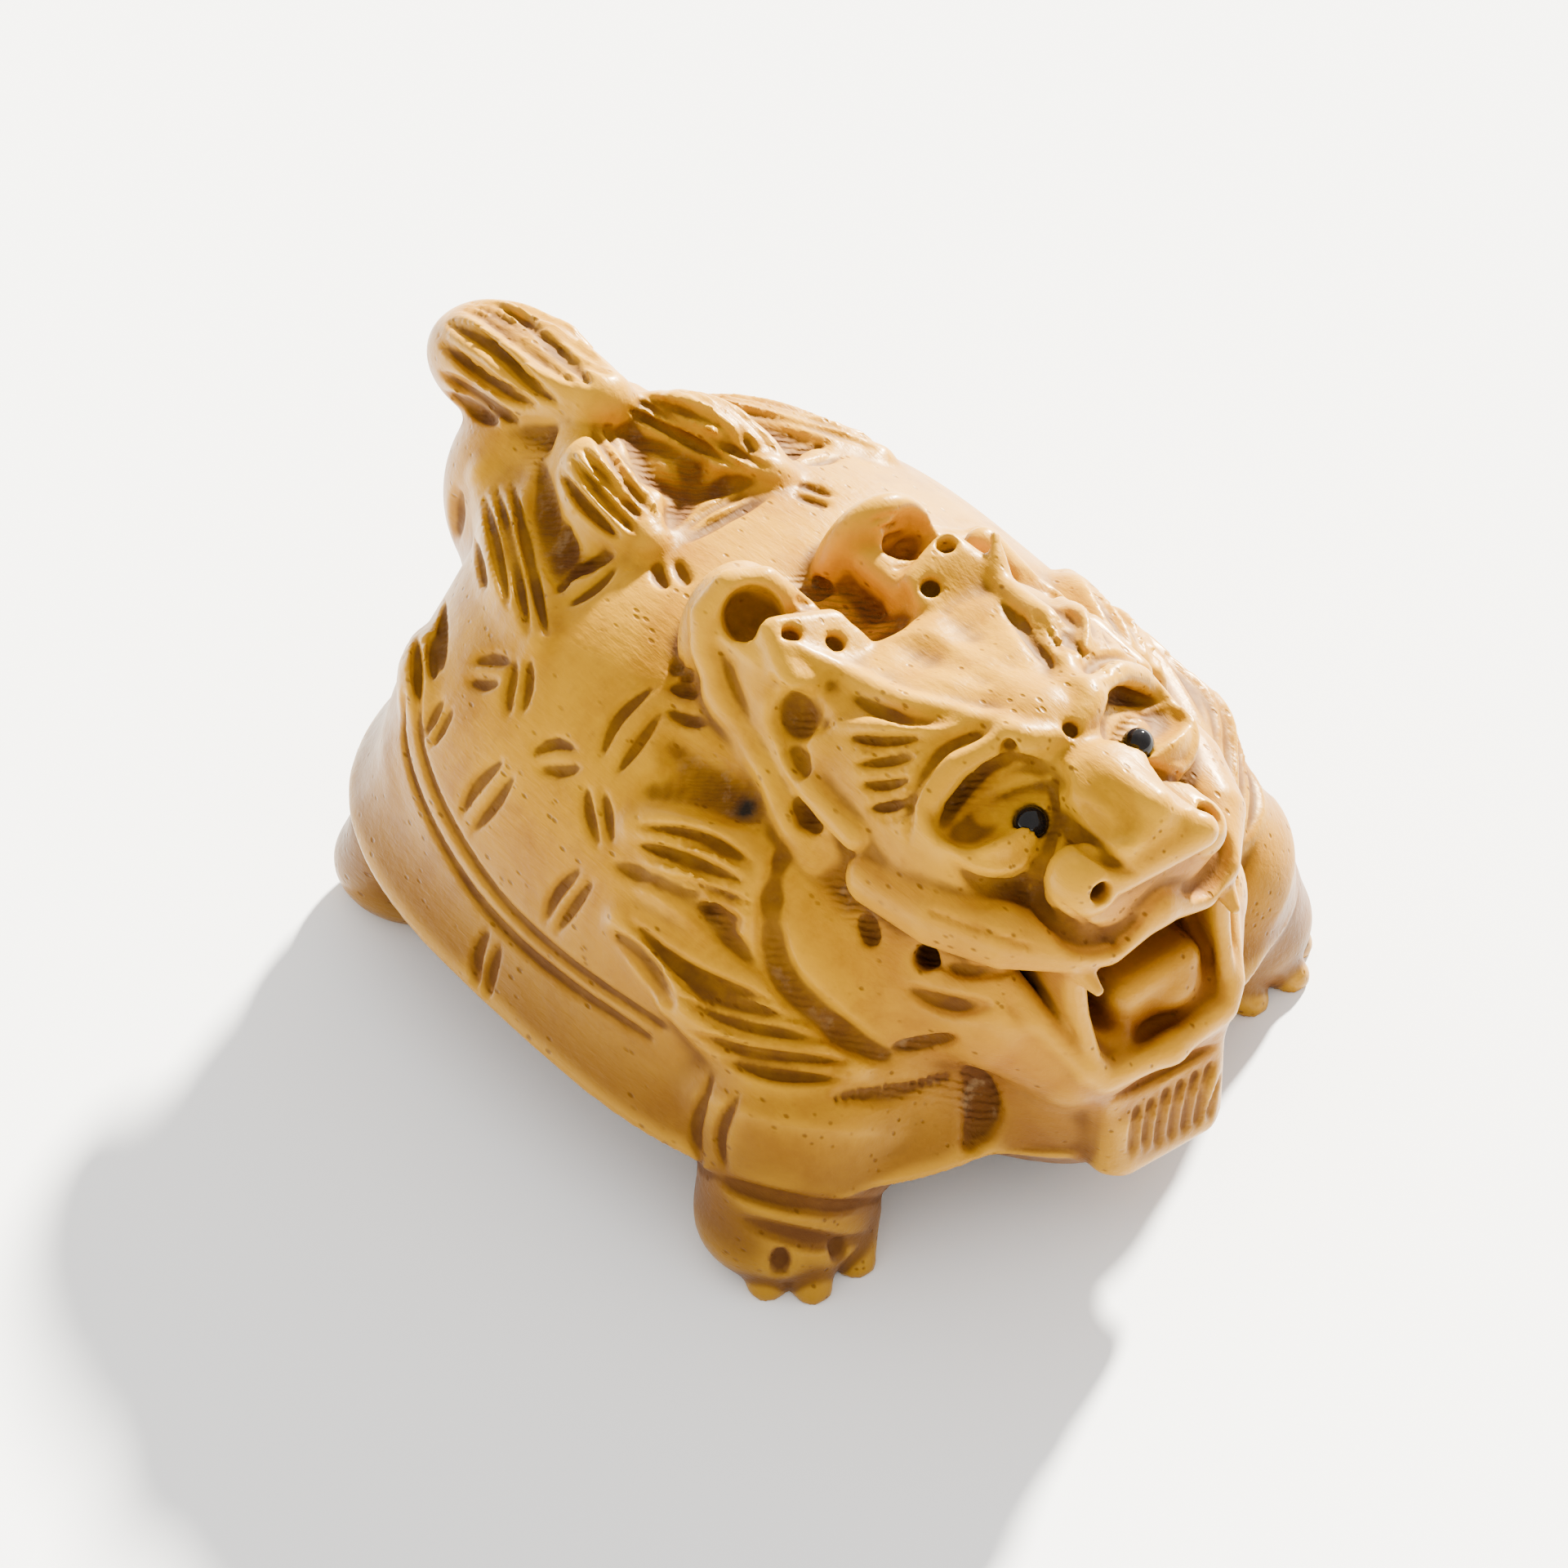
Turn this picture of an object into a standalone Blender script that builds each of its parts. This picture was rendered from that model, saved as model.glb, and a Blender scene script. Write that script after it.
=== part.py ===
"""A dragon turtle netsuke: one piece of carved boxwood with two inlaid bead eyes.

The animal faces -Y, its left side is +X, and it stands on four feet at Z = 0, with the origin under
the middle of its box. The carving is one free form. It is modelled as wood is: masses are joined,
the mouth and hollows are cut away, and gouge marks are laid on the surface. Its places are grid
steps, shares of its own length. The beads are fitted in at their real size.
"""
from math import cos, radians, sin

import bpy
import numpy as np
import openvdb

# Real sizes, in metres
LENGTH = 0.056                 # nose to the end of the tail tuft
EYE_BEAD = 0.0016              # diameter of an inlaid eye bead
EYE_GAP = 0.0003               # free space round a bead in its socket
CORD_HOLE = 0.0030             # diameter of the two cord holes in the belly

LENGTH_STEPS = 69.4
STEP = LENGTH / LENGTH_STEPS   # one grid step of the carving
GRAIN = 0.40                   # distance between the samples of the form, in steps
CARVING_FACES = 9000           # triangles left in the carving

# The view that the carving's marks are drawn in: a square frame of 1920 units
VIEW_TURN = radians(-39.0)
VIEW_RISE = radians(45.0)
VIEW_REACH = 560.0             # steps from the eye to the target
VIEW_SCALE = 20.0              # frame units to a step, at the target
VIEW_MIDDLE = 960.0
VIEW_TARGET = np.array((2.2, 5.9, 6.0))
VIEW_RIGHT = np.array((cos(VIEW_TURN), sin(VIEW_TURN), 0.0))
VIEW_UP = np.array((-sin(VIEW_TURN) * sin(VIEW_RISE), cos(VIEW_TURN) * sin(VIEW_RISE), cos(VIEW_RISE)))
VIEW_BACK = np.array((sin(VIEW_TURN) * cos(VIEW_RISE), -cos(VIEW_TURN) * cos(VIEW_RISE), sin(VIEW_RISE)))
VIEW_EYE = VIEW_TARGET + VIEW_BACK * VIEW_REACH


def sight(marks):
    """The directions from the eye through marks on the frame."""
    across, down = (np.asarray(marks, dtype=float).T - VIEW_MIDDLE) / (VIEW_SCALE * VIEW_REACH)
    return np.outer(across, VIEW_RIGHT) - np.outer(down, VIEW_UP) - VIEW_BACK


def at(across, down, side):
    """The point that the view shows at a mark, side steps from the middle plane."""
    heading = sight([(across, down)])[0]
    return VIEW_EYE + heading * ((side - VIEW_EYE[0]) / heading[0])


def before(across, down, nearness):
    """The point that the view shows at a mark, so many steps before the target."""
    return VIEW_EYE + sight([(across, down)])[0] * (VIEW_REACH - nearness)


def smooth_line(knots, spacing):
    """Even points on a smooth curve through a few knots."""
    knots = np.asarray(knots, dtype=float)
    ends = np.vstack((2 * knots[0] - knots[1], knots, 2 * knots[-1] - knots[-2]))
    line = [knots[:1]]
    for a, b, c, d in zip(ends, ends[1:], ends[2:], ends[3:]):
        count = max(2, int(np.linalg.norm(c - b) / spacing))
        t = np.arange(1, count + 1)[:, None] / count
        line.append(0.5 * (2 * b + (c - a) * t + (2 * a - 5 * b + 4 * c - d) * t ** 2
                           + (3 * b - a - 3 * c + d) * t ** 3))
    return np.vstack(line)


def unbroken(path):
    """The longest part of a path that has no jump, as at the edge of a nearer form."""
    jumps = np.flatnonzero(np.linalg.norm(np.diff(path, axis=0), axis=1) > 2.2) + 1
    return max(np.split(path, jumps), key=len)


def turned(turn):
    """A turn about X, then Y, then Z, in degrees."""
    x, y, z = np.radians(turn)
    about_x = np.array(((1, 0, 0), (0, cos(x), -sin(x)), (0, sin(x), cos(x))))
    about_y = np.array(((cos(y), 0, sin(y)), (0, 1, 0), (-sin(y), 0, cos(y))))
    about_z = np.array(((cos(z), -sin(z), 0), (sin(z), cos(z), 0), (0, 0, 1)))
    return about_z @ about_y @ about_x


# Forms: each is its lowest corner, its highest corner and its distance function


def egg(centre, radii, turn=(0, 0, 0)):
    centre = np.asarray(centre, dtype=float)
    spin = turned(turn)
    reach = np.sqrt(((spin * np.array(radii)) ** 2).sum(axis=1))

    def distance(x, y, z):
        x, y, z = x - centre[0], y - centre[1], z - centre[2]
        near = far = 0
        for axis, radius in zip(spin.T, radii):
            along = (x * axis[0] + y * axis[1] + z * axis[2]) / radius
            near = near + along ** 2
            far = far + (along / radius) ** 2
        near = np.sqrt(near)
        return near * (near - 1) / np.maximum(np.sqrt(far), 1e-6)

    return centre - reach, centre + reach, distance


def limb(points, radii):
    """A round bar of changing thickness along a chain of points."""
    points = np.asarray(points, dtype=float)
    radii = np.asarray(radii, dtype=float) * np.ones(len(points))

    def distance(x, y, z):
        best = None
        for a, b, thick, thin in zip(points, points[1:], radii, radii[1:]):
            way = b - a
            x0, y0, z0 = x - a[0], y - a[1], z - a[2]
            t = np.clip((x0 * way[0] + y0 * way[1] + z0 * way[2]) / max(way @ way, 1e-9), 0, 1)
            gap = np.sqrt((x0 - t * way[0]) ** 2 + (y0 - t * way[1]) ** 2 + (z0 - t * way[2]) ** 2)
            gap = gap - (thick + (thin - thick) * t)
            best = gap if best is None else np.minimum(best, gap)
        return best

    return (points - radii[:, None]).min(axis=0), (points + radii[:, None]).max(axis=0), distance


def block(centre, half, turn=(0, 0, 0), corner=0.0):
    """A box with round corners."""
    centre = np.asarray(centre, dtype=float)
    spin = turned(turn)
    reach = np.abs(spin * np.array(half)).sum(axis=1)

    def distance(x, y, z):
        x, y, z = x - centre[0], y - centre[1], z - centre[2]
        past = [np.abs(x * axis[0] + y * axis[1] + z * axis[2]) - (size - corner)
                for axis, size in zip(spin.T, half)]
        outer = np.sqrt(sum(np.maximum(p, 0) ** 2 for p in past))
        inner = np.minimum(np.maximum(np.maximum(past[0], past[1]), past[2]), 0)
        return outer + inner - corner

    return centre - reach, centre + reach, distance


def dome(half_width, half_length, base, rise, fall, squareness, fullness, shift, left=1.0):
    """A turtle-back: a squarish oval in plan, rounded up from its base and under it."""

    def distance(x, y, z):
        n, m = squareness, fullness
        wide = half_width * np.where(x > 0, left, 1.0)
        across, along = np.abs(x) / wide, np.abs(y - shift) / half_length
        plan = np.maximum((across ** n + along ** n) ** (1 / n), 1e-3)
        tall = np.where(z > base, rise, fall)
        lift = np.abs(z - base) / tall
        size = np.maximum((plan ** m + lift ** m) ** (1 / m), 1e-3)
        steep = np.sqrt((across ** (n - 1) / wide) ** 2 + (along ** (n - 1) / half_length) ** 2)
        side = plan ** (1 - n) * steep
        slope = np.sqrt((side * (plan / size) ** (m - 1)) ** 2 + ((lift / size) ** (m - 1) / tall) ** 2)
        return (size - 1) / np.maximum(slope, 0.02)

    return (np.array((-half_width, shift - half_length, base - fall)),
            np.array((half_width, shift + half_length, base + rise)), distance)


def wedge(apex, rise, fall, half_width, reach):
    """The air between two jaws: it opens forward from its apex, rise above level and fall below."""
    apex = np.asarray(apex, dtype=float)

    def distance(x, y, z):
        ahead = apex[1] - y
        roof = (z - apex[2] - rise * ahead) / np.sqrt(1 + rise ** 2)
        floor = (apex[2] - fall * ahead - z) / np.sqrt(1 + fall ** 2)
        return np.maximum(np.maximum(roof, floor), np.abs(x - apex[0]) - half_width)

    return (apex - (half_width, reach, fall * reach), apex + (half_width, 0, rise * reach), distance)


def mirrored(form, middle):
    low, high, distance = form
    turn = 2 * middle
    return (np.array((turn - high[0], low[1], low[2])), np.array((turn - low[0], high[1], high[2])),
            lambda x, y, z: distance(turn - x, y, z))


class Wood:
    """The block that is carved: distances to its surface on an even grid, negative inside."""

    FAR = 6.0

    def __init__(self, low, high, grain):
        self.low = np.array(low, dtype=float)
        self.grain = grain
        self.middle = 0.0
        self.axes = [np.arange(a, b + grain, grain).astype(np.float32) for a, b in zip(low, high)]
        self.field = np.full([len(axis) for axis in self.axes], self.FAR, np.float32)

    def join(self, form, blend=0.0, both=False, cut=False):
        """Join a form to the wood, or cut it away, with a seam that is as soft as blend."""
        if both:
            self.join(mirrored(form, self.middle), blend, cut=cut)
        low, high, distance = form
        margin = blend + 3 * self.grain + 0.2
        cells, grid = [], []
        for i, axis in enumerate(self.axes):
            first = max(0, int((low[i] - margin - axis[0]) / self.grain))
            last = max(first, min(len(axis), int((high[i] + margin - axis[0]) / self.grain) + 2))
            cells.append(slice(first, last))
            grid.append(axis[first:last].reshape([-1 if j == i else 1 for j in range(3)]))
        cells = tuple(cells)
        old = self.field[cells]
        new = distance(*grid).astype(np.float32)
        if cut:
            new = -new
            result, way = np.maximum(old, new), 1
        else:
            result, way = np.minimum(old, new), -1
        if blend:
            result = result + way * np.maximum(blend - np.abs(old - new), 0) ** 2 / (4 * blend)
        self.field[cells] = result

    def cut(self, form, blend=0.0, both=False):
        self.join(form, blend, both, cut=True)

    def sample(self, points):
        """The distance at any points, between the grid's own."""
        place = np.clip((points - self.low) / self.grain, 0, np.array(self.field.shape) - 1.001)
        base = place.astype(int)
        rest = place - base
        total = 0.0
        for corner in np.ndindex(2, 2, 2):
            share = np.prod(np.where(corner, rest, 1 - rest), axis=1)
            total = total + share * self.field[tuple((base + corner).T)]
        return total

    def facing(self, points):
        """The direction that the surface faces near each point."""
        gap = 0.4
        slope = np.stack([self.sample(points + gap * axis) - self.sample(points - gap * axis)
                          for axis in np.eye(3)], axis=1)
        return slope / np.maximum(np.linalg.norm(slope, axis=1, keepdims=True), 1e-6)

    def seen(self, marks, spacing=0.6):
        """The points of the surface that the view shows along a line of marks."""
        heading = sight(smooth_line(marks, spacing * VIEW_SCALE))
        heading = heading / np.linalg.norm(heading, axis=1, keepdims=True)
        start = VIEW_EYE + heading * (VIEW_REACH - 60)
        gone = np.zeros(len(heading))
        found = np.zeros(len(heading), bool)
        pace = 0.4
        for _ in range(280):
            found |= self.sample(start + gone[:, None] * heading) < 0
            gone += np.where(found, 0, pace)
        outer, inner = gone - pace, gone
        for _ in range(7):
            middle = (outer + inner) / 2
            inside = self.sample(start + middle[:, None] * heading) < 0
            inner = np.where(inside, middle, inner)
            outer = np.where(inside, outer, middle)
        return unbroken((start + inner[:, None] * heading)[found])

    def gouge(self, lines, width, depth, both=True, ends=0.6, blend=0.0):
        """Cuts with a round gouge along lines in the view, running out at both ends."""
        paths = [self.seen(marks) for marks in lines]
        paths = [path for path in paths if len(path) > 2]
        fronts = [self.facing(path) for path in paths]
        for path, front in zip(paths, fronts):
            share = np.linspace(0, 1, len(path))
            half = width / 2 * np.maximum(np.sin(np.pi * share) ** ends, 0.08)
            deep = np.minimum(depth / (width / 2), 1.0)
            radius = half * (1 + deep ** 2) / (2 * deep)
            self.cut(limb(path + front * (radius - deep * half)[:, None], radius), blend, both)

    def strand(self, lines, width, sunk, both=True, blend=0.6):
        """Raised bars along lines in the view, sunk in the wood by a share of their radius."""
        for marks in lines:
            path = self.seen(marks)
            share = np.linspace(0, 1, len(path))
            radius = width / 2 * np.maximum(np.sin(np.pi * share), 0.15) ** 0.5
            path = path - self.facing(path) * (radius * sunk)[:, None]
            self.join(limb(path, radius), blend, both)

    def drill(self, marks, radius, depth, both=True):
        """Holes drilled square to the surface where the view shows the marks."""
        for mark in marks:
            spot = self.seen((mark, (mark[0] + 1, mark[1])))[:1]
            out = self.facing(spot)[0]
            ends = (spot[0] + out * radius, spot[0] - out * depth)
            self.cut(limb(ends, (radius, radius * 0.8)), 0.15, both)

    def polish(self):
        """Rub the sharpest edges down, as handling does."""
        near = sum(np.roll(self.field, way, axis) for axis in range(3) for way in (-1, 1)) / 6
        self.field = (self.field + near) / 2

    def faces(self):
        """The surface as points and four-sided faces."""
        grid = openvdb.FloatGrid(self.FAR)
        grid.copyFromArray(self.field)
        points, quads = grid.convertToQuads(isovalue=0.0)
        return points * self.grain + self.low, quads


HEAD_MIDDLE = 0.5              # the head's middle plane, in steps to the left
BEAD_CENTRES = (at(1393, 911, 4.7), at(1262, 1007, -3.7))    # left, then right

# Marks of the carving, in the view's frame

SCUTE_SEAMS = (
    ((828, 648), (878, 615), (930, 600)), ((831, 658), (891, 631), (946, 605)),
    ((679, 731), (708, 700), (755, 681)), ((690, 745), (728, 718), (758, 688)),
    ((631, 801), (622, 850), (622, 884)), ((647, 800), (644, 845), (637, 880)),
    ((573, 811), (600, 806), (632, 814)), ((568, 831), (592, 838), (615, 832)),
    ((545, 850), (528, 880), (514, 905)), ((556, 860), (540, 890), (524, 918)),
    ((620, 926), (580, 965), (562, 1003)), ((632, 944), (600, 990), (573, 1023)),
    ((646, 924), (680, 910), (712, 922)), ((652, 939), (685, 944), (716, 938)),
    ((806, 834), (755, 880), (733, 934)), ((815, 862), (780, 910), (750, 952)),
    ((716, 957), (720, 1000), (734, 1043)), ((737, 962), (742, 1000), (750, 1037)),
    ((715, 1058), (680, 1095), (663, 1135)), ((729, 1073), (700, 1110), (676, 1147)),
    ((600, 1132), (583, 1170), (584, 1214)), ((614, 1152), (600, 1190), (597, 1226)),
    ((875, 1308), (851, 1379), (860, 1435)), ((908, 1332), (881, 1387), (889, 1441)),
    ((820, 832), (838, 805), (862, 788)), ((832, 838), (850, 818), (868, 806)),
    ((972, 592), (1000, 598), (1024, 609)), ((968, 604), (995, 612), (1020, 622)),
    ((979, 719), (995, 727), (1009, 733)), ((975, 730), (990, 738), (1005, 742)),
)
RIM_LINE = ((493, 840), (495, 914), (512, 975), (542, 1037), (585, 1102), (634, 1155),
            (695, 1205), (757, 1247), (806, 1278))
RIM_LINE_GAP = (17, -14)
SHELL_HAIR = (
    ((676, 562), (712, 615), (762, 663)), ((697, 556), (732, 602), (785, 658)),
    ((712, 546), (745, 589), (788, 638)), ((724, 526), (762, 579), (795, 628)),
    ((765, 499), (838, 536), (918, 579)), ((772, 486), (845, 523), (944, 575)),
    ((788, 484), (845, 506), (894, 525)),
    ((624, 585), (646, 672), (671, 788)), ((604, 587), (626, 672), (649, 784)),
    ((589, 599), (606, 665), (623, 748)), ((573, 615), (583, 672), (596, 725)),
    ((531, 628), (503, 721), (498, 804)), ((538, 638), (515, 721), (509, 804), (513, 860)),
    ((545, 672), (530, 754), (530, 837)), ((552, 690), (541, 760), (540, 825)),
)
TUFT_FLUTES = (
    ((536, 418), (606, 473), (662, 499)), ((546, 393), (599, 423), (652, 473), (689, 496)),
    ((550, 376), (589, 386), (652, 432), (709, 473)), ((575, 370), (625, 392), (680, 432), (715, 465)),
    ((603, 367), (652, 400), (709, 456), (725, 473)), ((536, 454), (579, 483), (619, 509), (636, 516)),
    ((543, 479), (579, 502), (613, 519)),
)
FLAME_HAIR = (
    ((776, 1010), (860, 1025), (925, 1060)), ((776, 1033), (841, 1052), (917, 1083)),
    ((822, 1075), (879, 1094), (921, 1106)), ((852, 1106), (885, 1120), (913, 1132)),
    ((764, 1121), (841, 1186), (959, 1232)), ((803, 1171), (879, 1222), (1000, 1255)),
    ((827, 1217), (899, 1253), (1021, 1277)), ((839, 1261), (918, 1288), (1049, 1302)),
    ((879, 1296), (946, 1316), (1033, 1322)),
)
NAPE_HAIR = (((815, 838), (836, 845), (858, 853)), ((808, 865), (838, 880), (868, 889)))
NECK_GROOVE = ((958, 1040), (944, 1102), (944, 1159), (963, 1205), (1001, 1243), (1057, 1282), (1096, 1298))
BROW_HAIR = (((1033, 902), (1080, 908), (1135, 903)), ((1045, 936), (1085, 933), (1125, 925)),
             ((1049, 961), (1085, 962), (1120, 952)), ((1060, 990), (1090, 988), (1118, 978)))
LEFT_BROW_HAIR = (((1228, 739), (1264, 785), (1297, 825)), ((1261, 742), (1291, 779), (1311, 819)),
                  ((1284, 746), (1307, 776), (1327, 805)))
BEARD_TOP = ((1357, 1350), (1437, 1308), (1517, 1268))
BEARD_FLUTES = 7


def shell_form(wood):
    """The turtle-back with its sloping rim, and the flat belly under it."""
    wood.join(dome(22.2, 25.6, 6.0, 22.3, 4.0, 3.0, 2.25, 0.6, left=0.955))
    wood.join(dome(24.1, 27.2, 7.2, 14.0, 2.2, 3.0, 1.35, 0.2, left=0.98), 1.5)
    wood.join(block((0, 0, 5.5), (18.5, 22, 2.9), corner=2.4), 2.0)


def feet_form(wood):
    for side, back in ((-1, 0.0), (1, 1.4)):
        wood.join(limb(((side * 15, -17, 8), (side * 17.2, back - 18.5, 4.5)), (7.0, 5.4)), 1.0)
        wood.join(egg((side * 18, back - 19.0, 2.6), (5.3, 5.0, 3.4), (0, 0, side * 20)), 1.0)
        for x, y in ((21.2, -21.4), (19.3, -23.3), (16.0, -23.3)):
            toe = ((side * x * 0.94, back + y * 0.92, 2.2), (side * x, back + y, 0.4))
            wood.join(limb(toe, (1.9, 1.2)), 0.6)
    wood.join(limb(((-14.5, 15.5, 8), (-17.0, 17.5, 4.0)), (6.5, 4.6)), 1.0, both=True)
    wood.join(egg((-17.4, 18.0, 2.4), (4.4, 4.8, 3.2), (0, 0, 30)), 1.0, both=True)


def tail_form(wood):
    wood.join(egg((0, 16.5, 18.5), (10.0, 8.5, 9.3)), 5.0)
    wood.join(egg((0, 24.8, 18.0), (7.3, 7.3, 8.0)), 2.0)
    wood.join(limb(((0, 20.8, 28.2), (0, 26.5, 26.4)), (2.2, 3.6)), 1.0)
    wood.join(egg((0, 29.8, 25.0), (3.9, 7.0, 3.8), (-20, 0, 0)), 1.0)


def head_form(wood):
    # skull, face and the ridge of the forehead
    wood.join(block((0.2, -14.5, 23.6), (10.2, 9.2, 7.8), (6, 0, 0), 5.2), 1.5)
    wood.join(block((0.4, -18.0, 26.2), (9.2, 7.0, 6.2), (4, 0, 0), 3.8), 1.5)
    wood.join(limb(((0, -8.5, 26.0), (0.2, -15, 28.8), (0.5, -19.6, 30.8)), (4.0, 4.2, 3.0)), 2.0)
    wood.join(egg((0.5, -20.2, 31.4), (3.3, 2.8, 2.3)), 1.2)
    # throat, cheeks, lower jaw and the beard under the chin
    wood.join(egg((0, -21.4, 9.8), (8.4, 10.0, 8.9)), 2.0)
    wood.join(egg((-7.6, -17, 16.5), (4.4, 6.6, 6.6)), 1.5, both=True)
    jaw = ((-6.9, -18.0, 16.4), (-5.6, -24.3, 17.4), (-3.6, -28.2, 14.6))
    wood.join(limb(jaw, (5.0, 4.8, 3.6)), 1.5, both=True)
    wood.join(block((0.6, -29.8, 10.4), (4.7, 2.1, 4.6), (0, 0, -2), 1.1), 0.8)
    wood.join(block((0.5, -30.4, 8.4), (3.8, 2.1, 2.6), (0, 0, -2), 1.0), 0.8)
    # muzzle, the bands of the cheeks, nose and the lobes of the nostrils
    wood.join(block((0.5, -25.6, 26.2), (5.8, 4.6, 3.5), (0, 0, 0), 1.8), 0.8)
    band = ((-10.0, -17.5, 24.2), (-9.0, -22.0, 24.4), (-7.4, -26.0, 24.6),
            (-5.0, -29.2, 24.4), (-3.0, -29.9, 24.0), (0.5, -30.2, 25.2))
    wood.join(limb(band, (1.7, 2.1, 2.0, 1.4, 1.2, 1.1)), 0.7, both=True)
    wood.join(block((0.5, -27.0, 30.6), (2.8, 3.6, 2.0), (8, 0, -4), 0.9), 0.6)
    wood.join(limb(((0.5, -21.8, 30.6), (0.6, -26.0, 31.8), (0.8, -29.2, 32.2)), (1.9, 1.7, 1.3)), 1.0)
    wood.join(limb(((-2.4, -29.9, 29.5), (2.9, -31.0, 30.5)), (1.2, 1.1)), 0.7)
    wood.join(egg((-3.9, -28.7, 29.0), (2.1, 2.2, 2.1)), 0.2)
    wood.join(egg((4.5, -28.7, 27.9), (1.9, 2.0, 1.8)), 0.2)


def mouth_form(wood):
    """The open mouth, with a pocket at each side behind a skin, its tongue, the lower lip and the fangs."""
    wood.cut(wedge((0.5, -25.8, 22.0), 0.10, 1.15, 14.0, 12.0), 0.4)
    wood.cut(block((0.5, -27.8, 20.0), (4.4, 4.8, 3.1), (0, 0, 0), 1.4), 0.3)
    wood.cut(egg((-6.6, -27.0, 20.2), (1.5, 2.6, 2.1)), 0.3, both=True)
    rim = ((-7.4, -24.6, 21.6), (-6.6, -28.2, 18.9), (-5.0, -30.8, 15.9),
           (-4.0, -31.4, 14.9), (0.6, -31.9, 14.7))
    wood.join(limb(rim, (1.0, 0.9, 0.9, 0.9, 0.9)), 0.6, both=True)
    skin = ((-4.6, -31.0, 15.8), (-4.9, -30.0, 19.5), (-5.0, -29.4, 23.4))
    wood.join(limb(skin, (0.6, 0.55, 0.6)), 0.4, both=True)
    wood.join(block((-5.0, -27.6, 20.0), (0.6, 2.2, 3.8), corner=0.4), 0.4, both=True)
    wood.join(limb((at(1322, 1186, -4.9), at(1345, 1214, -4.7)), (0.8, 0.35)), 0.2, both=True)
    wood.join(block((1.2, -26.6, 17.6), (3.5, 3.8, 2.2), (4, 0, 0), 1.4), 0.5)
    wood.join(egg((2.4, -29.0, 17.0), (2.2, 2.0, 1.7)), 0.5)


def crown_form(wood):
    """The knobs and ears at the back of the head, and the frill down to the cheeks."""
    wood.join(limb(((-5.0, -9.0, 28.4), (-4.4, -13.5, 30.0), (-3.4, -17.6, 31.2)), (2.5, 2.0, 1.7)), 1.2)
    wood.join(limb(((4.8, -9.0, 28.2), (5.0, -13.5, 29.4), (4.4, -17.6, 30.8)), (2.4, 2.2, 1.8)), 1.2)
    wood.join(block((-5.7, -6.0, 29.3), (3.4, 2.8, 3.2), (18, 14, -14), 1.1), 0.5)
    wood.join(block((4.6, -6.2, 29.0), (3.0, 2.6, 3.1), (18, -14, 12), 1.1), 0.5)
    wood.cut(limb(((-0.4, 1.0, 30.5), (-0.4, -5.5, 31.4)), 2.4), 0.6)
    wood.join(egg((-6.2, 0.4, 28.4), (3.6, 2.4, 4.9)), 0.5)
    wood.join(block((-6.0, -2.8, 28.2), (3.0, 3.0, 3.7), corner=1.0), 0.5)
    hook = ((-9.4, -3.4, 27.2), (-9.2, -1.0, 29.8), (-8.6, -0.2, 31.5),
            (-7.0, -0.4, 32.9), (-5.2, -1.4, 32.8), (-4.2, -3.4, 31.4))
    wood.join(limb(hook, (1.1, 1.0, 1.0, 1.1, 1.1, 1.0)), 0.4)
    wood.cut(egg((-6.9, -2.4, 32.0), (1.8, 1.8, 1.9)), 0.3)
    wood.join(egg((4.2, 0.2, 27.8), (3.9, 2.2, 5.2), (4, 12, -10)), 0.5)
    wood.join(block((4.6, -2.8, 27.6), (3.0, 3.0, 3.4), corner=1.0), 0.5)
    wood.cut(egg((5.8, -2.5, 30.4), (2.5, 1.8, 3.6), (4, 16, -10)), 0.3)
    wood.join(limb(((-7.0, -2.5, 26.2), (-7.8, -8.0, 25.2), (-8.6, -13.0, 23.8)), 3.0), 1.0, both=True)
    outer = ((-9.3, -2.6, 27.6), (-9.6, -5.6, 26.6), (-10.4, -8.6, 25.8),
             (-11.2, -11.6, 24.6), (-11.2, -13.6, 23.4))
    inner = ((-8.0, -4.4, 29.6), (-8.8, -7.4, 27.8), (-9.9, -12.0, 27.0), (-10.2, -16.0, 26.6))
    wood.join(limb(outer, (1.2, 1.1, 1.1, 1.0, 0.8)), 0.5, both=True)
    wood.join(limb(inner, (1.2, 1.1, 1.1, 0.9)), 0.5, both=True)


def eye_form(wood):
    """The sunken sockets with their rings, and the swell of the eyeball that carries each bead."""
    wood.cut(limb((before(1180, 986, 37.4), before(1262, 958, 37.6)), (2.6, 2.3)), 0.3, both=True)
    ball = (before(1184, 1018, 33.9), before(1216, 1008, 33.6), before(1254, 995, 33.2))
    wood.join(limb(ball, (1.3, 2.0, 2.2)), 0.2, both=True)
    ring = (before(1140, 1030, 34.6), before(1142, 978, 35.4), before(1172, 938, 35.8),
            before(1216, 916, 35.8), before(1268, 908, 35.4))
    wood.join(limb(ring, (0.5, 0.75, 0.8, 0.8, 0.6)), 0.3, both=True)


def belly_form(wood):
    """The pair of cord holes, joined by a bent passage inside the belly."""
    radius = CORD_HOLE / STEP / 2
    wood.cut(limb(((-4.5, 3, 0.5), (-3.8, 3, 6.0), (3.8, 3, 6.0), (4.5, 3, 0.5)), radius), 0.3)


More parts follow.
